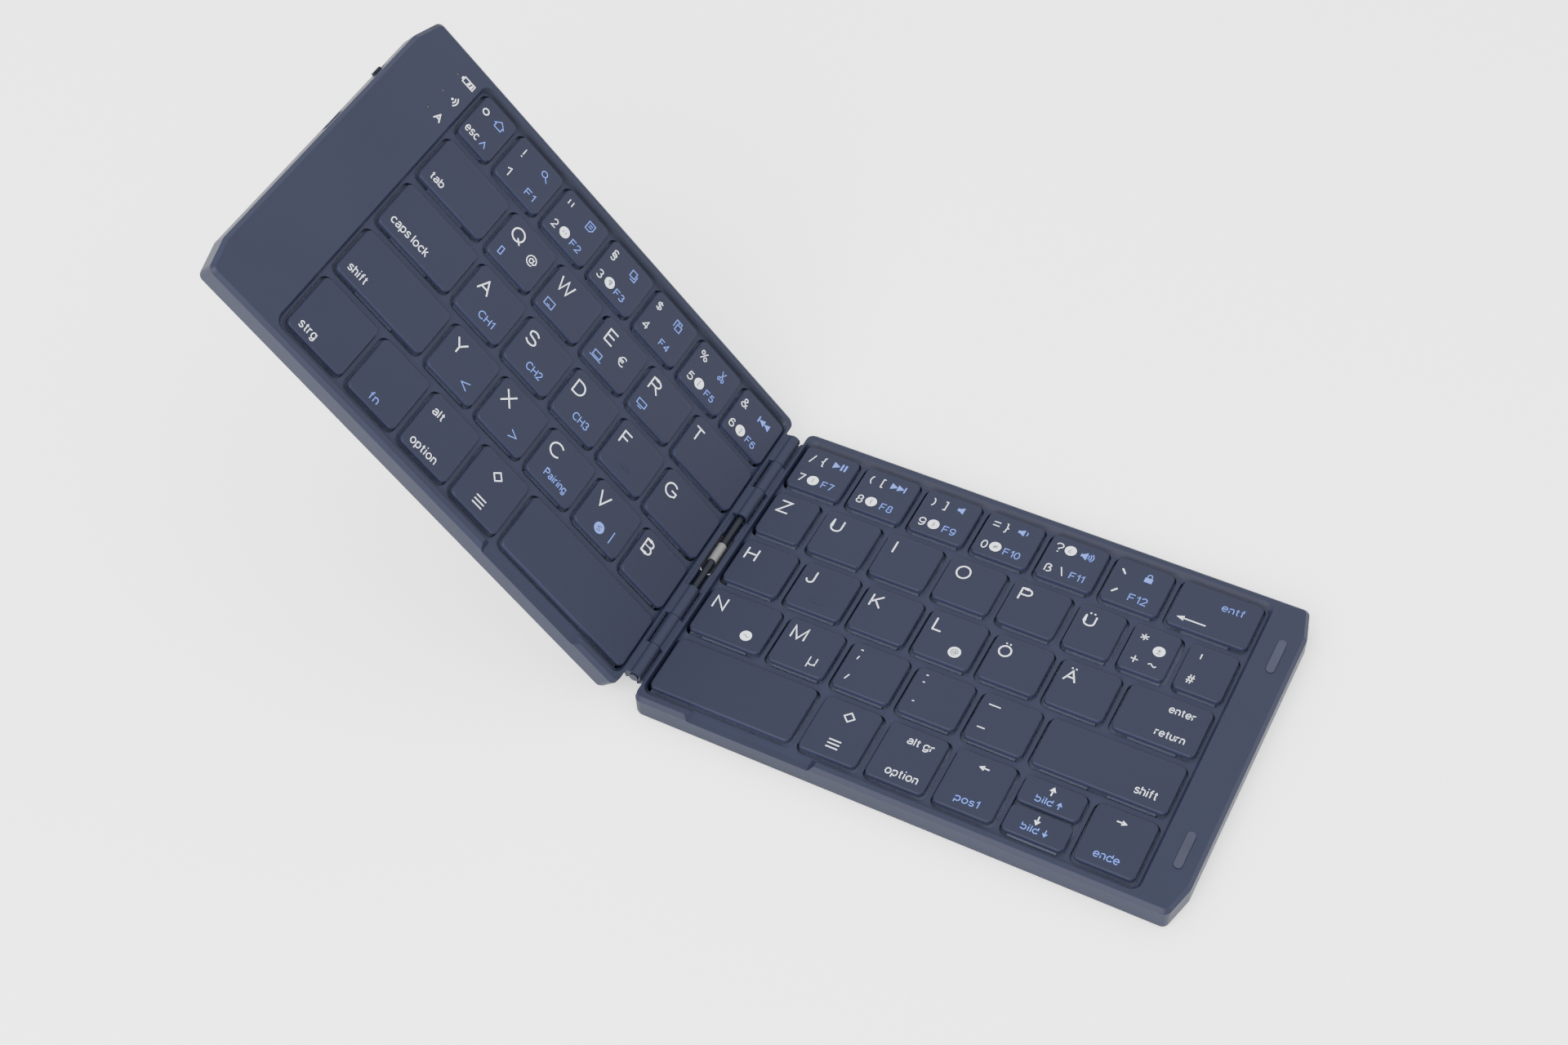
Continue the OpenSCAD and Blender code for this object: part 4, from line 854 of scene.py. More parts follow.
LEGENDS: Dict[str, List[Tuple[Mark, ...]]] = {
    "escape_key": [(Mark(":ring", 1.4, 3.2, 2.1, 2.1), blue(":house", 5.5, 2.5, 3.7, 2.9), word("esc", 1.0, 10.9, 4.3, 1.9),
                    blue(":caret", 6.2, 10.9, 2.2, 1.9))],
    "left_number_keys": [
        (word("!", 2.9, 2.5, 0.65, 2.8), blue(":lens", 9.7, 2.5, 3.1, 2.9), word("1", 2.4, 10.1, 1.3, 2.6), blue("F1", 9.7, 10.4, 3.2, 2.2)),
        (word('"', 2.3, 2.5, 1.5, 1.7), blue(":page", 9.7, 2.4, 2.7, 3.0), word("2", 2.3, 10.2, 1.6, 2.5), *disc('"', 6.6, 11.2, 1.1, 1.0),
         blue("F2", 9.3, 10.6, 3.5, 2.2)),
        (word("§", 2.1, 2.3, 1.6, 3.3), blue(":copy", 9.1, 2.5, 2.75, 3.0), word("3", 2.0, 10.2, 1.7, 2.5), *disc("¶", 6.4, 11.2, 1.1, 1.6),
         blue("F3", 8.8, 10.7, 3.4, 2.1)),
        (word("$", 2.3, 2.5, 1.7, 2.9), blue(":paste", 9.1, 2.5, 3.0, 3.1), word("4", 2.2, 10.2, 1.9, 2.5), blue("F4", 8.9, 10.7, 3.4, 2.1)),
        (word("%", 2.2, 2.6, 2.7, 2.7), blue(":scissors", 10.0, 2.7, 2.3, 3.2), word("5", 2.7, 10.4, 1.8, 2.5), *disc("[", 6.9, 11.4, 0.55, 1.7),
         blue("F5", 9.6, 10.8, 3.3, 2.1)),
        (word("&", 1.9, 2.8, 2.2, 2.8), blue(":previous", 8.7, 3.2, 4.2, 2.1), word("6", 2.1, 10.5, 1.8, 2.5), *disc("]", 6.3, 11.6, 0.55, 1.7),
         blue("F6", 8.9, 10.8, 3.4, 2.2)),
    ],
    "right_number_keys": [
        (word("/", 2.6, 2.4, 1.2, 3.05), word("{", 5.9, 2.3, 1.1, 3.2), blue(":play_pause", 9.3, 2.4, 3.8, 2.2), word("7", 2.4, 9.8, 1.8, 2.6),
         *disc("|", 6.7, 10.9, 0.25, 1.9), blue("F7", 9.4, 10.0, 3.4, 2.3)),
        (word("(", 2.5, 2.4, 0.75, 2.85), word("[", 5.8, 2.3, 0.8, 3.05), blue(":next", 8.5, 2.5, 4.2, 2.2), word("8", 2.0, 9.8, 1.75, 2.7),
         *disc("{", 6.0, 10.9, 0.6, 1.8), blue("F8", 8.9, 10.1, 3.4, 2.4)),
        (word(")", 2.7, 2.4, 0.8, 2.8), word("]", 6.0, 2.3, 0.85, 3.05), blue(":speaker", 9.9, 2.4, 1.75, 2.2), word("9", 2.1, 9.8, 1.85, 2.7),
         *disc("}", 6.2, 10.9, 0.6, 1.8), blue("F9", 9.0, 10.1, 3.6, 2.3)),
        (word("=", 2.2, 2.9, 2.0, 1.4), word("}", 5.6, 2.3, 1.1, 3.2), blue(":speaker_low", 9.3, 2.5, 2.85, 2.1), word("0", 2.1, 9.9, 1.65, 2.6),
         *disc("≠", 5.9, 10.9, 1.5, 1.4), blue("F10", 8.4, 10.2, 4.6, 2.3)),
        (word("?", 2.0, 2.4, 2.0, 3.05), *disc("¿", 6.1, 3.8, 1.1, 1.6), blue(":speaker_high", 9.0, 2.4, 3.7, 2.85), word("ß", 2.1, 10.0, 1.85, 2.6),
         word("\\", 5.9, 9.7, 1.4, 2.85), blue("F11", 8.9, 10.2, 3.9, 2.3)),
        (Mark(":grave", 2.3, 3.3, 1.5, 1.6), blue(":lock", 8.8, 2.4, 2.05, 2.75), Mark(":acute", 2.3, 10.0, 1.5, 1.6), blue("F12", 7.1, 10.2, 5.1, 2.4)),
    ],
    "backspace_key": [(Mark(":long_arrow", 2.4, 11.1, 7.65, 1.5), blue("entf", 11.8, 3.2, 5.9, 2.3))],
    "tab_key": [(word("tab", 2.55, 10.5, 4.3, 2.3),)],
    "left_upper_letter_keys": [
        (letter("Q", 2.55, 2.6, 4.1, 4.35), word("@", 9.8, 5.5, 3.1, 3.2), blue(":phone", 2.9, 10.6, 1.3, 2.4)),
        (letter("W", 2.25, 2.6, 5.0), blue(":tablet", 2.4, 10.6, 3.2, 2.4)),
        (letter("E", 3.0, 2.6, 3.2), word("€", 9.5, 5.7, 2.4, 3.05), blue(":laptop", 2.4, 10.6, 4.0, 2.4)),
        (letter("R", 2.45, 2.6, 3.6), blue(":monitor", 2.4, 10.6, 3.2, 2.5)),
    ],
    "t_key": [(letter("T", 2.15, 2.8, 3.2),)],
    "right_upper_letter_keys": [
        (letter("Z", 2.55, 2.3, 3.5),), (letter("U", 2.45, 2.1, 3.2),), (letter("I", 2.55, 2.1, 0.6),), (letter("O", 2.45, 2.1, 4.0, 4.25),),
        (letter("P", 2.15, 2.1, 3.2),), (letter("Ü", 2.15, 2.2, 3.1, 4.3),),
        (word("*", 2.15, 2.5, 2.1, 2.2), *disc("±", 8.1, 6.4, 1.4, 1.7), word("+", 2.25, 9.9, 2.1, 2.3), word("~", 6.9, 10.7, 2.3, 0.9)),
        (word("'", 2.8, 2.4, 0.6, 1.8), word("#", 2.05, 9.5, 2.15, 2.9)),
    ],
    "caps_lock_key": [(word("caps lock", 2.45, 9.8, 12.4, 3.1),)],
    "left_home_letter_keys": [
        (letter("A", 2.45, 2.8, 3.7), blue("CH1", 7.1, 10.2, 5.1, 2.3)),
        (letter("S", 2.45, 2.8, 3.3, 4.2), blue("CH2", 6.9, 10.2, 5.3, 2.3)),
        (letter("D", 2.25, 2.8, 3.6), blue("CH3", 6.7, 10.2, 5.3, 2.3)),
        (letter("G", 2.55, 3.0, 4.0, 4.2),),
    ],
    "f_key": [(letter("F", 2.55, 2.9, 2.9),)],
    "right_home_letter_keys": [
        (letter("H", 2.15, 2.3, 3.3),), (letter("K", 2.35, 2.3, 3.2),),
        (letter("L", 2.25, 2.3, 2.6), *disc("@", 10.6, 10.6, 2.1, 2.1, Ink.WHITE, 3.3)),
        (letter("Ö", 2.15, 2.2, 3.5, 4.4),), (letter("Ä", 2.05, 2.2, 3.4, 4.4),),
    ],
    "j_key": [(letter("J", 2.15, 2.3, 2.3),)],
    "enter_key": [(word("enter", 11.3, 2.5, 6.8, 2.1), word("return", 10.5, 10.1, 7.7, 2.1))],
    "left_shift_key": [(word("shift", 2.35, 10.3, 5.8, 2.4),)],
    "left_lower_letter_keys": [
        (letter("Y", 2.55, 2.6, 3.6), blue(":less", 9.9, 9.9, 2.75, 2.6)),
        (letter("X", 2.65, 2.5, 3.6), blue(":more", 9.8, 9.9, 2.65, 2.4)),
        (letter("C", 2.35, 2.5, 3.8, 4.2), blue("Pairing", 5.2, 10.1, 7.7, 2.7)),
        (letter("V", 2.55, 2.5, 3.8), *disc("≤", 7.9, 11.3, 1.4, 1.6, Ink.BLUE), blue("|", 11.9, 8.8, 0.55, 3.9)),
        (letter("B", 2.35, 2.5, 3.2),),
    ],
    "n_key": [(letter("N", 2.35, 2.1, 3.4), *disc("~", 14.9, 10.7, 1.9, 0.8))],
    "right_lower_letter_keys": [
        (letter("M", 2.35, 2.0, 4.0), word("µ", 10.2, 9.3, 2.15, 3.5)),
        (word(";", 2.65, 1.9, 0.85, 3.3), word(",", 2.65, 10.1, 0.85, 1.85)),
        (word(":", 2.75, 1.9, 0.75, 2.5), word(".", 2.75, 10.2, 0.75, 0.8)),
        (word("_", 2.35, 3.1, 3.3, 0.5), word("-", 2.35, 10.4, 2.25, 0.55)),
    ],
    "right_shift_key": [(word("shift", 25.9, 9.6, 5.7, 2.5),)],
    "control_key": [(word("strg", 2.55, 13.1, 5.2, 2.9),)],
    "function_key": [(blue("fn", 6.0, 13.1, 2.85, 2.3),)],
    "left_alt_key": [(word("alt", 2.55, 3.1, 3.4, 2.4), word("option", 2.55, 13.1, 8.5, 3.0))],
    "left_command_key": [(Mark(":diamond", 6.2, 3.0, 3.2, 3.2), Mark(":menu", 6.2, 11.9, 3.2, 2.8))],
    "left_space_key": [()],
    "right_space_key": [()],
    "right_command_key": [(Mark(":diamond", 6.1, 2.4, 3.2, 3.2), Mark(":menu", 6.0, 11.4, 3.2, 2.8))],
    "right_alt_key": [(word("alt gr", 5.5, 2.5, 7.0, 2.8), word("option", 4.2, 12.4, 8.6, 3.0))],
    "arrow_left_key": [(Mark(":arrow_left", 6.3, 2.6, 2.65, 1.45), blue("pos1", 4.6, 12.5, 6.2, 2.7))],
    "arrow_up_key": [(Mark(":arrow_up", 6.8, 1.0, 1.6, 2.6), blue("bild", 4.5, 4.5, 4.4, 2.0), blue(":arrow_up", 9.9, 4.4, 1.4, 2.1))],
    "arrow_down_key": [(Mark(":arrow_down", 6.8, 1.2, 1.6, 2.6), blue("bild", 4.5, 4.1, 4.4, 2.0), blue(":arrow_down", 9.9, 4.0, 1.4, 2.1))],
    "arrow_right_key": [(Mark(":arrow_right", 6.0, 2.6, 2.65, 1.45), blue("ende", 4.3, 12.4, 6.5, 2.3))],
}


@dataclass
class SignBook:
    """Draws the signs that aren't letters, each in a box one unit wide and high, as lines and filled shapes."""

    def shapes(self, name: str, w: float, h: float) -> Tuple[List[Line], List[List[Point2]]]:
        """Gives the lines and the filled outlines of a sign.

        Args:
            name: the sign's name.
            w: its width in millimetres.
            h: its height in millimetres.

        Returns:
            Lines and outlines in millimetres from the sign's lower left corner.
        """
        lines, fills = getattr(self, "draw_" + name)()
        return ([([(x * w, y * h) for x, y in points], closed) for points, closed in lines],
                [[(x * w, y * h) for x, y in fill] for fill in fills])

    @staticmethod
    def draw_disc():
        """A filled disc."""
        return [], [circle_points(0.5, 0.5, 0.5, 32)]

    @staticmethod
    def draw_ring():
        """A small ring."""
        return [(circle_points(0.5, 0.5, 0.4, 20), True)], []

    @staticmethod
    def draw_house():
        """A house with a wide roof."""
        return [([(0.2, 0.42), (0.08, 0.42), (0.5, 0.92), (0.92, 0.42), (0.8, 0.42), (0.8, 0.06), (0.2, 0.06)], True)], []

    @staticmethod
    def draw_caret():
        """An upward corner."""
        return [([(0.1, 0.05), (0.5, 0.92), (0.9, 0.05)], False)], []

    @staticmethod
    def draw_less():
        """A corner that opens to the right."""
        return [([(0.95, 0.95), (0.1, 0.5), (0.95, 0.05)], False)], []

    @staticmethod
    def draw_more():
        """A corner that opens to the left."""
        return [([(0.05, 0.95), (0.9, 0.5), (0.05, 0.05)], False)], []

    @staticmethod
    def draw_grave():
        """A stroke that falls to the right."""
        return [], [[(0.0, 0.85), (0.25, 1.0), (1.0, 0.1), (0.8, 0.0)]]

    @staticmethod
    def draw_acute():
        """A stroke that falls to the left."""
        return [], [[(0.0, 0.1), (0.2, 0.0), (1.0, 0.85), (0.75, 1.0)]]

    @staticmethod
    def draw_lens():
        """A magnifying glass."""
        return [(circle_points(0.38, 0.64, 0.28, 20), True), ([(0.6, 0.42), (0.95, 0.05)], False)], []

    @staticmethod
    def draw_page():
        """A page with a folded corner and two lines."""
        return [([(0.08, 0.08), (0.08, 0.92), (0.92, 0.92), (0.92, 0.35), (0.65, 0.08)], True), ([(0.28, 0.66), (0.72, 0.66)], False),
                ([(0.28, 0.42), (0.72, 0.42)], False)], []

    @staticmethod
    def draw_copy():
        """Two pages, one behind the other."""
        return [([(0.08, 0.3), (0.08, 0.95), (0.7, 0.95), (0.7, 0.3)], True), ([(0.88, 0.75), (0.88, 0.06), (0.3, 0.06)], False)], []

    @staticmethod
    def draw_paste():
        """A page over a board."""
        return [([(0.08, 0.2), (0.08, 0.95), (0.75, 0.95), (0.75, 0.7)], False), ([(0.35, 0.06), (0.35, 0.62), (0.92, 0.62), (0.92, 0.06)], True),
                ([(0.3, 0.8), (0.55, 0.8)], False)], []

    @staticmethod
    def draw_scissors():
        """Open scissors."""
        return [([(0.2, 1.0), (0.68, 0.36)], False), ([(0.8, 1.0), (0.32, 0.36)], False), (circle_points(0.22, 0.2, 0.16, 14), True),
                (circle_points(0.78, 0.2, 0.16, 14), True)], []

    @staticmethod
    def draw_previous():
        """A bar and two triangles to the left."""
        return [], [[(0, 0.05), (0.09, 0.05), (0.09, 0.95), (0, 0.95)], [(0.1, 0.5), (0.55, 0.02), (0.55, 0.98)], [(0.55, 0.5), (1, 0.02), (1, 0.98)]]

    @staticmethod
    def draw_next():
        """Two triangles and a bar to the right."""
        return [], [[(0, 0.02), (0.45, 0.5), (0, 0.98)], [(0.45, 0.02), (0.9, 0.5), (0.45, 0.98)], [(0.91, 0.05), (1, 0.05), (1, 0.95), (0.91, 0.95)]]

    @staticmethod
    def draw_play_pause():
        """A triangle and two bars."""
        return [], [[(0, 0), (0.52, 0.5), (0, 1)], [(0.6, 0), (0.73, 0), (0.73, 1), (0.6, 1)], [(0.87, 0), (1, 0), (1, 1), (0.87, 1)]]

    @staticmethod
    def draw_speaker():
        """A loudspeaker."""
        return [], [[(0, 0.3), (0.35, 0.3), (1, 0), (1, 1), (0.35, 0.7), (0, 0.7)]]

    @staticmethod
    def draw_speaker_low():
        """A loudspeaker with one wave."""
        return [(circle_points(0.5, 0.5, 0.42, 8, -42, 84), False)], [[(0, 0.3), (0.2, 0.3), (0.6, 0), (0.6, 1), (0.2, 0.7), (0, 0.7)]]

    @staticmethod
    def draw_speaker_high():
        """A loudspeaker with three waves."""
        waves = [(circle_points(0.3, 0.5, r, 8, -42, 84), False) for r in (0.3, 0.47, 0.64)]
        return waves, [[(0, 0.35), (0.15, 0.35), (0.45, 0.05), (0.45, 0.95), (0.15, 0.65), (0, 0.65)]]

    @staticmethod
    def draw_lock():
        """A padlock."""
        return [([(0.22, 0.5), (0.22, 0.7)] + circle_points(0.5, 0.7, 0.28, 8, 180, -180)[1:] + [(0.78, 0.5)], False)], \
            [[(0, 0), (1, 0), (1, 0.55), (0, 0.55)]]

    @staticmethod
    def draw_long_arrow():
        """A long thin arrow to the left."""
        return [([(0.2, 0.5), (1, 0.5)], False)], [[(0, 0.5), (0.25, 0), (0.25, 1)]]

    @staticmethod
    def draw_arrow_left():
        """A short arrow to the left."""
        return [([(0.4, 0.5), (1, 0.5)], False)], [[(0, 0.5), (0.5, 0), (0.5, 1)]]

    @staticmethod
    def draw_arrow_right():
        """A short arrow to the right."""
        return [([(0, 0.5), (0.6, 0.5)], False)], [[(1, 0.5), (0.5, 1), (0.5, 0)]]

    @staticmethod
    def draw_arrow_up():
        """A short arrow to the rear."""
        return [([(0.5, 0), (0.5, 0.6)], False)], [[(0.5, 1), (0, 0.5), (1, 0.5)]]

    @staticmethod
    def draw_arrow_down():
        """A short arrow to the front."""
        return [([(0.5, 0.4), (0.5, 1)], False)], [[(0.5, 0), (1, 0.5), (0, 0.5)]]

    @staticmethod
    def draw_phone():
        """An upright handset."""
        return [([(0.1, 0.05), (0.9, 0.05), (0.9, 0.95), (0.1, 0.95)], True)], []

    @staticmethod
    def draw_tablet():
        """A wide screen."""
        return [([(0.06, 0.06), (0.94, 0.06), (0.94, 0.94), (0.06, 0.94)], True), ([(0.35, 0.26), (0.65, 0.26)], False)], []

    @staticmethod
    def draw_laptop():
        """A screen on a base."""
        return [([(0.18, 0.28), (0.82, 0.28), (0.82, 0.94), (0.18, 0.94)], True), ([(0, 0.08), (1, 0.08)], False)], []

    @staticmethod
    def draw_monitor():
        """A screen on a foot."""
        return [([(0.05, 0.32), (0.95, 0.32), (0.95, 0.94), (0.05, 0.94)], True), ([(0.28, 0.07), (0.72, 0.07)], False)], []

    @staticmethod
    def draw_diamond():
        """A diamond outline."""
        return [([(0.5, 0.06), (0.94, 0.5), (0.5, 0.94), (0.06, 0.5)], True)], []

    @staticmethod
    def draw_menu():
        """Three bars."""
        return [([(0, y), (1, y)], False) for y in (0.1, 0.5, 0.9)], []

    @staticmethod
    def draw_battery():
        """A battery with charge bars."""
        return [([(0.14, 0.1), (0.96, 0.1), (0.96, 0.9), (0.14, 0.9)], True)], \
            [[(0, 0.3), (0.1, 0.3), (0.1, 0.7), (0, 0.7)], [(0.45, 0.22), (0.6, 0.22), (0.68, 0.78), (0.53, 0.78)],
             [(0.7, 0.22), (0.86, 0.22), (0.86, 0.78), (0.78, 0.78)]]

    @staticmethod
    def draw_waves():
        """A dot with two waves."""
        return [(circle_points(0.2, 0.5, r, 10, -50, 100), False) for r in (0.42, 0.75)], [circle_points(0.2, 0.5, 0.14, 12)]


@dataclass
class Printer:
    """Prints marks as thin raised solids, one mesh for each ink.

    Args:
        height: how far the ink stands out in millimetres.
        sink: how far it goes into the surface.
    """

    height: float = 0.02
    sink: float = 0.01
    signs: SignBook = field(default_factory=SignBook)
    alphabet: Dict[str, List[Line]] = field(default_factory=make_alphabet)
    letter_gap: float = 0.27
    word_gap: float = 0.3

    def word_lines(self, glyph: str, w: float, h: float, stroke: float) -> List[Line]:
        """Gives the centre lines of a word whose print fills a box.

        Args:
            glyph: the word.
            w: width of the box in millimetres.
            h: height of the box in millimetres.
            stroke: width of the strokes in millimetres.

        Returns:
            Lines in millimetres from the box's lower left corner.
        """
        lines: List[Line] = []
        start = 0.0
        for sign in glyph:
            if sign == " ":
                start += self.word_gap
                continue
            drawn = self.alphabet[sign]
            low = min(x for points, _ in drawn for x, _ in points)
            lines += [([(x - low + start, y) for x, y in points], closed) for points, closed in drawn]
            start = max(x for points, _ in lines for x, _ in points) + self.letter_gap
        across = [x for points, _ in lines for x, _ in points]
        along = [y for points, _ in lines for _, y in points]
        x0, y0, wide, high = min(across), min(along), max(across) - min(across), max(along) - min(along)
        grow_x = max(w - stroke, 0.01) / wide if wide > 0.02 else 1.0
        grow_y = max(h - stroke, 0.01) / high if high > 0.02 else 1.0
        shift_x = stroke / 2 if wide > 0.02 else w / 2
        shift_y = stroke / 2 if high > 0.02 else h / 2
        return [([((x - x0) * grow_x + shift_x, (y - y0) * grow_y + shift_y) for x, y in points], closed) for points, closed in lines]

    def add(self, work: bmesh.types.BMesh, mark: Mark, x: float, y: float, z: float) -> None:
        """Adds a mark to a mesh.

        Args:
            work: the bmesh of its ink.
            mark: the mark.
            x: left side of the box that it's measured from.
            y: rear side of that box.
            z: height of the surface.
        """
        if mark.glyph.startswith(":") and len(mark.glyph) > 1:
            lines, fills = self.signs.shapes(mark.glyph[1:], mark.w, mark.h)
        else:
            lines, fills = self.word_lines(mark.glyph, mark.w, mark.h, mark.weight), []
        left, low = x + mark.x, y - mark.y - mark.h
        top = z + self.height * (1.5 if mark.ink is Ink.NAVY else 1.0)
        for fill in fills:
            points = [(left + a, low + b) for a, b in fill]
            area = sum(p[0] * q[1] - q[0] * p[1] for p, q in zip(points, points[1:] + points[:1]))
            slab(work, points if area > 0 else list(reversed(points)), z - self.sink, top)
        for points, closed in lines:
            ribbon(work, [(left + a, low + b) for a, b in points], mark.weight, closed, z - self.sink, top)


# ---------------------------------------------------------------- keys


@dataclass(frozen=True)
class CapBox:
    """The plan of one key cap in its half's millimetres."""

    x0: float
    x1: float
    y0: float
    y1: float


SIDE_MOVES: Dict[str, Tuple[Point2, ...]] = {
    "right_upper_letter_keys": ((0.2, -0.26),) + ((-0.16, -0.26),) * 5 + ((-0.16, -0.4), (-0.34, 0.1)),
    "right_space_key": ((0.2, -0.32),),
    "right_command_key": ((-0.22, -0.32),),
    "right_alt_key": ((-0.22, -0.32),),
    "arrow_left_key": ((-0.22, -0.32),),
    "arrow_up_key": ((-0.22, 0.04),),
    "arrow_down_key": ((-0.22, 0.04),),
    "arrow_right_key": ((0.14, 0.04),),
}
DEPTH_MOVES: Dict[str, Point2] = {"arrow_up_key": (0.225, 0.0), "arrow_down_key": (0.45, 0.225)}
LEGEND_MOVES: Dict[str, Tuple[float, ...]] = {
    "right_upper_letter_keys": (-0.35, 0.25, 0.25, 0.25, 0.25, 0.25, 0.25, 0.45),
    "right_command_key": (0.3,),
    "right_alt_key": (0.3,),
    "arrow_left_key": (0.3,),
    "arrow_right_key": (-0.1,),
}


@dataclass
class KeyField:
    """The key caps of one half with their legends.

    Args:
        place: where the half lies.
        finishes: the materials.
        printer: prints the legends.
        top: height of the key tops, from the hinge line.
        height: height of a cap.
        thick: thickness of a cap's top.
        skirt: thickness of its skirt.
        corner: corner radius.
        edge: radius of its top edge.
        set_back: how far a cap's front side lies behind its node's front side.
    """

    place: HalfPlace
    finishes: Finishes
    printer: Printer
    top: float = -0.8
    height: float = 1.5
    thick: float = 0.85
    skirt: float = 0.9
    corner: float = 1.5
    edge: float = 0.4
    set_back: float = 0.45

    def nodes(self) -> List[str]:
        """Returns the nodes of this half's keys."""
        found = []
        for joint in frame["joints"]:
            if joint["name"].endswith("_press") and joint["parent"] == self.place.body:
                found.append(joint["child"])
        return found

    def cap_boxes(self, node: str) -> List[CapBox]:
        """Finds the caps of a node, from left to right.

        Args:
            node: the node's name.

        Returns:
            One box for each cap.
        """
        back = self.place.matrix().inverted()
        mesh = frame["nodes"][node].data
        spots = [back @ vertex.co for vertex in mesh.vertices]
        spans = []
        for polygon in mesh.polygons:
            across = [spots[i].x for i in polygon.vertices]
            along = [spots[i].y for i in polygon.vertices]
            spans.append([min(across), max(across), min(along), max(along)])
        boxes: List[List[float]] = []
        for span in sorted(spans):
            if boxes and span[0] < boxes[-1][1] + 0.5:
                box = boxes[-1]
                boxes[-1] = [box[0], max(box[1], span[1]), min(box[2], span[2]), max(box[3], span[3])]
            else:
                boxes.append(span)
        return [CapBox(*box) for box in boxes]

    def shown_boxes(self, node: str) -> List[CapBox]:
        """Gives the plans of a node's caps as they show, each within its opening in the deck.

        Args:
            node: the node's name.

        Returns:
            One box for each cap.
        """
        boxes = self.cap_boxes(node)
        default: Point2 = (0.2, 0.1) if self.place.outward > 0 else (0.2, 0.3)
        sides = SIDE_MOVES.get(node, (default,) * len(boxes))
        front, rear = DEPTH_MOVES.get(node, (self.set_back, 0.0))
        return [CapBox(box.x0 + a, box.x1 + b, box.y0 + front, box.y1 + rear) for box, (a, b) in zip(boxes, sides)]

    def legend_move(self, node: str, index: int, box: CapBox) -> float:
        """Gives how far a key's legends lie beside their listed place.

        Args:
            node: the node's name.
            index: the key's place in the node.
            box: the key's plan.

        Returns:
            Millimetres to the right.
        """
        if self.place.outward < 0:
            return -0.98 - 0.0075 * (box.x0 + box.x1) / 2
        moves = LEGEND_MOVES.get(node)
        return moves[index] if moves else -0.2

    def add_cap(self, work: bmesh.types.BMesh, box: CapBox) -> None:
        """Adds one hollow cap with a rounded top edge.

        Args:
            work: the bmesh that gets it.
            box: the cap's plan.
        """
        low = self.top - self.height
        profile = [(self.skirt + 1.2, self.top - self.thick), (self.skirt, self.top - self.thick), (self.skirt, low), (0.12, low), (0.0, low + 0.12)]
        steps = 5
        for k in range(steps + 1):
            angle = math.pi / 2 * k / steps
            profile.append((self.edge * (1 - math.cos(angle)), self.top - self.edge * (1 - math.sin(angle))))
        profile.append((self.edge + 0.5, self.top))
        rings = []
        for inset, z in profile:
            outline = rounded_outline(box.x0 + inset, box.x1 - inset, box.y0 + inset, box.y1 - inset, max(0.25, self.corner - inset * 0.6))
            rings.append([(x, y, z) for x, y in outline])
        loft(work, rings)

    def add_bar(self, work: bmesh.types.BMesh, box: CapBox) -> None:
        """Adds the low bar that marks a first finger's key."""
        middle = (box.x0 + box.x1) / 2
        y = box.y0 + 3.4
        rings = [[(px, py, z) for px, py in rounded_outline(middle - 1.8 + inset, middle + 1.8 - inset, y + inset, y + 0.5 - inset, 0.12, 3)]
                 for inset, z in ((0.0, self.top - 0.05), (0.0, self.top + 0.08), (0.08, self.top + 0.18))]
        loft(work, rings)

    def build(self) -> int:
        """Builds every key of the half.

        Returns:
            The number of caps.
        """
        count = 0
        for node in self.nodes():
            boxes = self.shown_boxes(node)

            def caps(work: bmesh.types.BMesh) -> None:
                """Fills the mesh of the node's caps."""
                for box in boxes:
                    self.add_cap(work, box)
                if node in ("f_key", "j_key"):
                    self.add_bar(work, boxes[0])

            mesh = mesh_from(node + "_caps", caps, self.place.matrix(), 40.0)
            piece = new_piece(node + "_caps", mesh, node, self.finishes.key)
            # Faces that don't face up take the lighter colour of the cap sides, a painted light for their shade.
            mesh.materials.append(self.finishes.key_side_painted_light)
            up = self.place.normal()
            for polygon in mesh.polygons:
                polygon.material_index = 0 if polygon.normal.dot(up) > 0.5 else 1
            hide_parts(node)
            self.print_legends(node, boxes)
            count += len(boxes)
        return count

    def print_legends(self, node: str, boxes: Sequence[CapBox]) -> None:
        """Prints the legends of a node's keys.

        Args:
            node: the node, which is also the body's name.
            boxes: its caps from left to right.
        """
        plans = LEGENDS[node]
        if len(plans) != len(boxes):
            raise ValueError(f"{node}: {len(boxes)} caps, {len(plans)} legends")
        inks = {Ink.WHITE: self.finishes.white, Ink.BLUE: self.finishes.blue, Ink.NAVY: self.finishes.shadow_ink}
        for ink, material in inks.items():
            marks = [(mark, box, self.legend_move(node, index, box))
                     for index, (plan, box) in enumerate(zip(plans, boxes)) for mark in plan if mark.ink is ink]
            if not marks:
                continue

            def prints(work: bmesh.types.BMesh) -> None:
                """Fills the mesh of one ink."""
                for mark, box, move in marks:
                    self.printer.add(work, mark, box.x0 + move, box.y1, self.top)

            name = f"{node}_{ink.value}_print"
            new_piece(name, mesh_from(name, prints, self.place.matrix()), node, material)


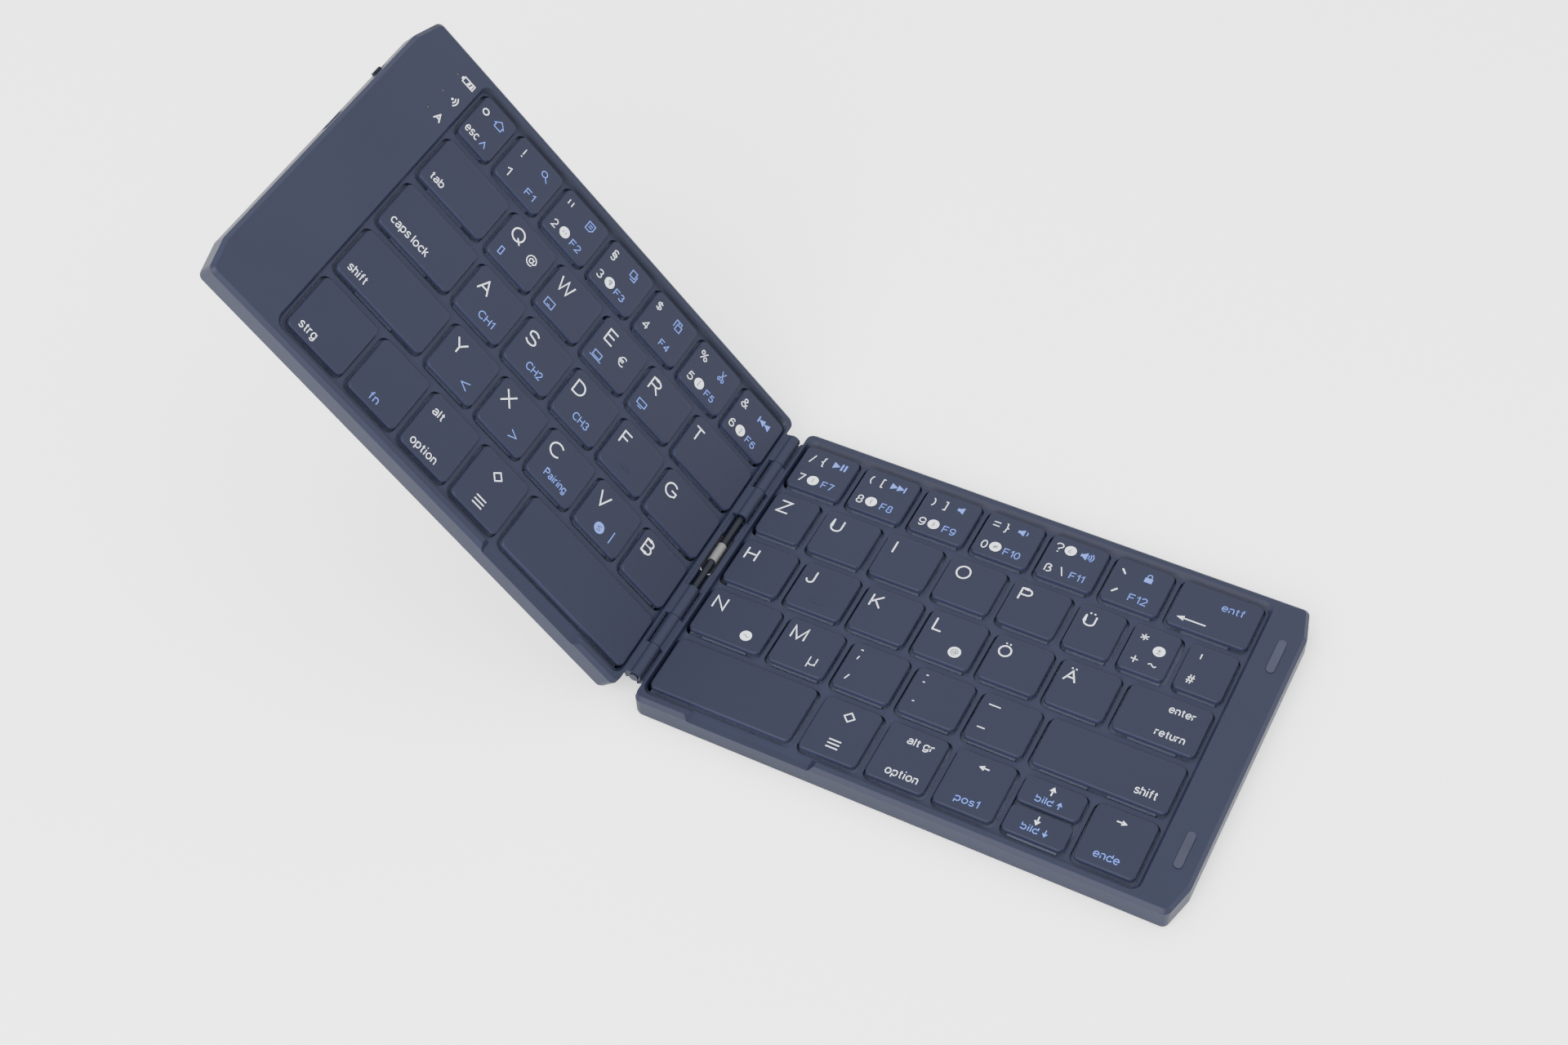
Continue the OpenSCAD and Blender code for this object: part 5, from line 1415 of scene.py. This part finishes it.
@dataclass
class KeyWorks:
    """The scissor links and domes below the keys of one half.

    Args:
        place: where the half lies.
        finishes: the materials.
        base: height of the sheet that they stand on; not used.
        keep: share of their height that is left at the end of the travel; not used.
        stretch: how much longer the links are than their node's.
        forward: how far they lie in front of their node's.
    """

    place: HalfPlace
    finishes: Finishes
    keys: KeyField
    base: float = -4.5
    keep: float = 0.45
    stretch: float = 13.0 / 12.0
    forward: float = 0.3

    def build(self) -> int:
        """Splits the CAD links and domes by key, into pieces on the half's body.

        Returns:
            The number of pieces.
        """
        side = self.place.body.split("_")[0]
        count = 0
        for kind, material, slot in (("scissor_links", self.finishes.links, "links"), ("rubber_domes", self.finishes.dome, "dome")):
            source = frame["nodes"][f"{side}_{kind}"]
            for node in self.keys.nodes():
                piece = self.cut_out(source, node, kind, material)
                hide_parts(source.name)
                anchor = self.place.matrix() @ Vector((0, 0, self.base))
                tuple(self.place.normal())
                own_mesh(piece)
                count += 1
        return count

    def cut_out(self, source: bpy.types.Object, node: str, kind: str, material: bpy.types.Material) -> bpy.types.Object:
        """Copies what lies below a node's caps.

        Args:
            source: the CAD object to copy from.
            node: the node of the caps.
            kind: what the piece is.
            material: its finish.

        Returns:
            The new piece.
        """
        back = self.place.matrix().inverted()
        boxes = self.keys.cap_boxes(node)
        work = bmesh.new()
        work.from_mesh(source.data)
        gone = []
        for face in work.faces:
            spot = back @ face.calc_center_median()
            if not any(box.x0 < spot.x < box.x1 and box.y0 < spot.y < box.y1 for box in boxes):
                gone.append(face)
        bmesh.ops.delete(work, geom=gone, context="FACES")
        bmesh.ops.remove_doubles(work, verts=work.verts, dist=0.001 * MM)
        if kind == "scissor_links":
            for vertex in work.verts:
                spot = back @ vertex.co
                box = min(boxes, key=lambda b: abs((b.x0 + b.x1) / 2 - spot.x))
                middle = (box.y0 + box.y1) / 2
                vertex.co.y += ((spot.y - middle) * (self.stretch - 1.0) - self.forward) * MM
        mesh = bpy.data.meshes.new(f"{node}_{kind}")
        work.to_mesh(mesh)
        work.free()
        return new_piece(f"{node}_{kind}", mesh, self.place.body, material)


# ---------------------------------------------------------------- case, hinge, ends


@dataclass
class Housing:
    """The frames, covers and inner plates of both halves."""

    finishes: Finishes

    def dress(self) -> None:
        """Gives each carried-over node its finish."""
        f = self.finishes
        f.dress(("right_top_frame",), f.case_right)
        f.dress(("left_top_frame",), f.case_left)
        f.dress(("right_bottom_cover", "left_bottom_cover"), f.cover)
        f.dress(("right_key_plate", "left_key_plate"), f.plate)
        f.dress(("right_switch_sheet", "left_switch_sheet"), f.film)
        f.dress(("right_foot_strips", "left_foot_strips"), f.rubber)
        f.dress(("right_case_screws", "left_case_screws"), f.screw)
        f.dress(("right_magnets", "left_magnets"), f.steel)
        f.dress(("right_bumpers",), f.bumper)
        f.dress(("battery",), f.pouch)


@dataclass
class Hinge:
    """The pins, rod, collar and flat cable between the halves."""

    finishes: Finishes

    def dress(self) -> None:
        """Gives each carried-over node its finish."""
        f = self.finishes
        f.dress(("hinge_pins",), f.pin)
        f.dress(("hinge_rod",), f.dark)
        f.dress(("hinge_collar",), f.collar)

    def build(self) -> None:
        """Copies the flat cable into a piece on no body, in place of its CAD node."""
        source = frame["nodes"]["flex_cable"]
        piece = new_piece("flat_cable", source.data.copy(), None, self.finishes.cable)
        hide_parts("flex_cable")
        fold = next(joint for joint in frame["joints"] if joint["name"] == "fold")
        x, y, z = fold["pos_m"]
        x + 1.5 * MM
        z - 1.5 * MM
        x - 1.5 * MM
        z - 1.5 * MM
        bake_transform(piece)


@dataclass
class LeftEnd:
    """The lamps, printed signs, slider and socket at the left end.

    Args:
        place: where the left half lies.
        finishes: the materials.
        printer: prints the signs.
        rim: height of the top face.
    """

    place: HalfPlace
    finishes: Finishes
    printer: Printer
    rim: float = -0.6

    def build(self) -> None:
        """Prints the signs beside the lamps."""
        signs = (Mark(":battery", 0.0, 0.0, 4.3, 1.95, Ink.WHITE, 0.26), Mark(":waves", 0.0, 0.0, 2.2, 2.4, Ink.WHITE, 0.28), Mark("A", 0.0, 0.0, 2.2, 2.4, Ink.WHITE, 0.32))
        spots = ((-131.0, 43.0), (-129.6, 36.2), (-129.8, 29.1))

        def prints(work: bmesh.types.BMesh) -> None:
            """Fills the mesh of the signs."""
            for mark, (x, y) in zip(signs, spots):
                self.printer.add(work, mark, x, y, self.rim)

        new_piece("lamp_signs", mesh_from("lamp_signs", prints, self.place.matrix()), self.place.body, self.finishes.white)

    def dress(self) -> None:
        """Gives each carried-over node its finish."""
        f = self.finishes
        f.dress(("controller_board",), f.board)
        f.dress(("charging_socket",), f.pin)
        f.dress(("switch_housing", "power_slider"), f.dark)
        f.dress(("indicator_lenses",), f.lens)


# ---------------------------------------------------------------- studio


@dataclass
class Studio:
    """The camera, the lights and the pale floor.

    Args:
        hinge: a point of the hinge line in metres, which the camera's place is measured from.
        lens_px: focal length in pixels of the 1920-wide picture.
    """

    hinge: Tuple[float, float, float]
    lens_px: float = 2895.66
    eye_mm: Tuple[float, float, float] = (210.43, -329.96, 476.24)
    ahead: Tuple[float, float, float] = (-0.3208, 0.5576, -0.7656)
    down: Tuple[float, float, float] = (0.3293, -0.6922, -0.6422)
    sky: float = 3.0
    lamps: Tuple[Tuple[str, Tuple[float, float, float], float, float, Colour], ...] = (
        ("front_softbox", (-0.05, -1.15, 1.05), 1.3, 50.0, (1.0, 0.99, 0.98)),
        ("right_softbox", (1.2, 0.1, 0.9), 1.0, 2.5, (0.98, 0.99, 1.0)),
    )

    def build(self) -> None:
        """Builds the whole studio."""
        self.add_camera()
        self.add_floor()
        self.add_lights()

    def add_camera(self) -> None:
        """Sets the camera where the photograph was taken from."""
        data = bpy.data.cameras.new("camera")
        data.sensor_width = 36.0
        data.lens = self.lens_px / 1920.0 * 36.0
        data.clip_start = 0.01
        camera = bpy.data.objects.new("camera", data)
        bpy.context.scene.collection.objects.link(camera)
        back = -Vector(self.ahead).normalized()
        up = -Vector(self.down).normalized()
        right = up.cross(back).normalized()
        up = back.cross(right)
        turn = Matrix((right, up, back)).transposed().to_4x4()
        camera.matrix_world = Matrix.Translation(Vector(self.hinge) + Vector(self.eye_mm) * MM) @ turn
        bpy.context.scene.camera = camera

    def add_floor(self) -> None:
        """Adds the pale floor."""
        work = bmesh.new()
        bmesh.ops.create_grid(work, x_segments=1, y_segments=1, size=3.0)
        mesh = bpy.data.meshes.new("floor")
        work.to_mesh(mesh)
        work.free()
        floor = bpy.data.objects.new("floor", mesh)
        bpy.context.scene.collection.objects.link(floor)
        paint = Paint("floor_paper")
        grain = paint.noise(1.2, 2.0)
        mesh.materials.append(paint.finish({
            "Base Color": paint.mix(paint.ramp(grain, 0.2, 0.8), (0.90, 0.90, 0.905), (0.93, 0.93, 0.93)),
            "Roughness": 0.9, "Specular IOR Level": 0.1}))

    def add_lights(self) -> None:
        """Adds the even sky and the large soft lamps."""
        world = bpy.data.worlds.new("studio")
        bpy.context.scene.world = world
        world.use_nodes = True
        sky = world.node_tree.nodes["Background"]
        sky.inputs["Color"].default_value = (0.97, 0.98, 1.0, 1.0)
        sky.inputs["Strength"].default_value = self.sky
        for name, spot, size, power, tint in self.lamps:
            lamp = bpy.data.lights.new(name, "AREA")
            lamp.shape = "DISK"
            lamp.size = size
            lamp.energy = power
            lamp.color = tint
            holder = bpy.data.objects.new(name, lamp)
            bpy.context.scene.collection.objects.link(holder)
            holder.location = spot
            holder.rotation_euler = (-Vector(spot)).to_track_quat("-Z", "Y").to_euler()


def main() -> None:
    """Builds the studio and every sub-assembly, in order."""
    logging.basicConfig(level=logging.INFO, format="%(name)s: %(message)s")
    right, left = find_halves()
    finishes = Finishes(right, left)
    printer = Printer()
    Studio(right.hinge).build()
    LOG.info("studio set")
    Housing(finishes).dress()
    hinge = Hinge(finishes)
    hinge.dress()
    hinge.build()
    LOG.info("hinge dressed")
    end = LeftEnd(left, finishes, printer)
    end.dress()
    end.build()
    LOG.info("left end dressed")
    for place in (right, left):
        keys = KeyField(place, finishes, printer)
        LOG.info("%s: %d caps", place.body, keys.build())
        LOG.info("%s: %d link and dome pieces", place.body, KeyWorks(place, finishes, keys).build())


if __name__ == "__main__":
    main()
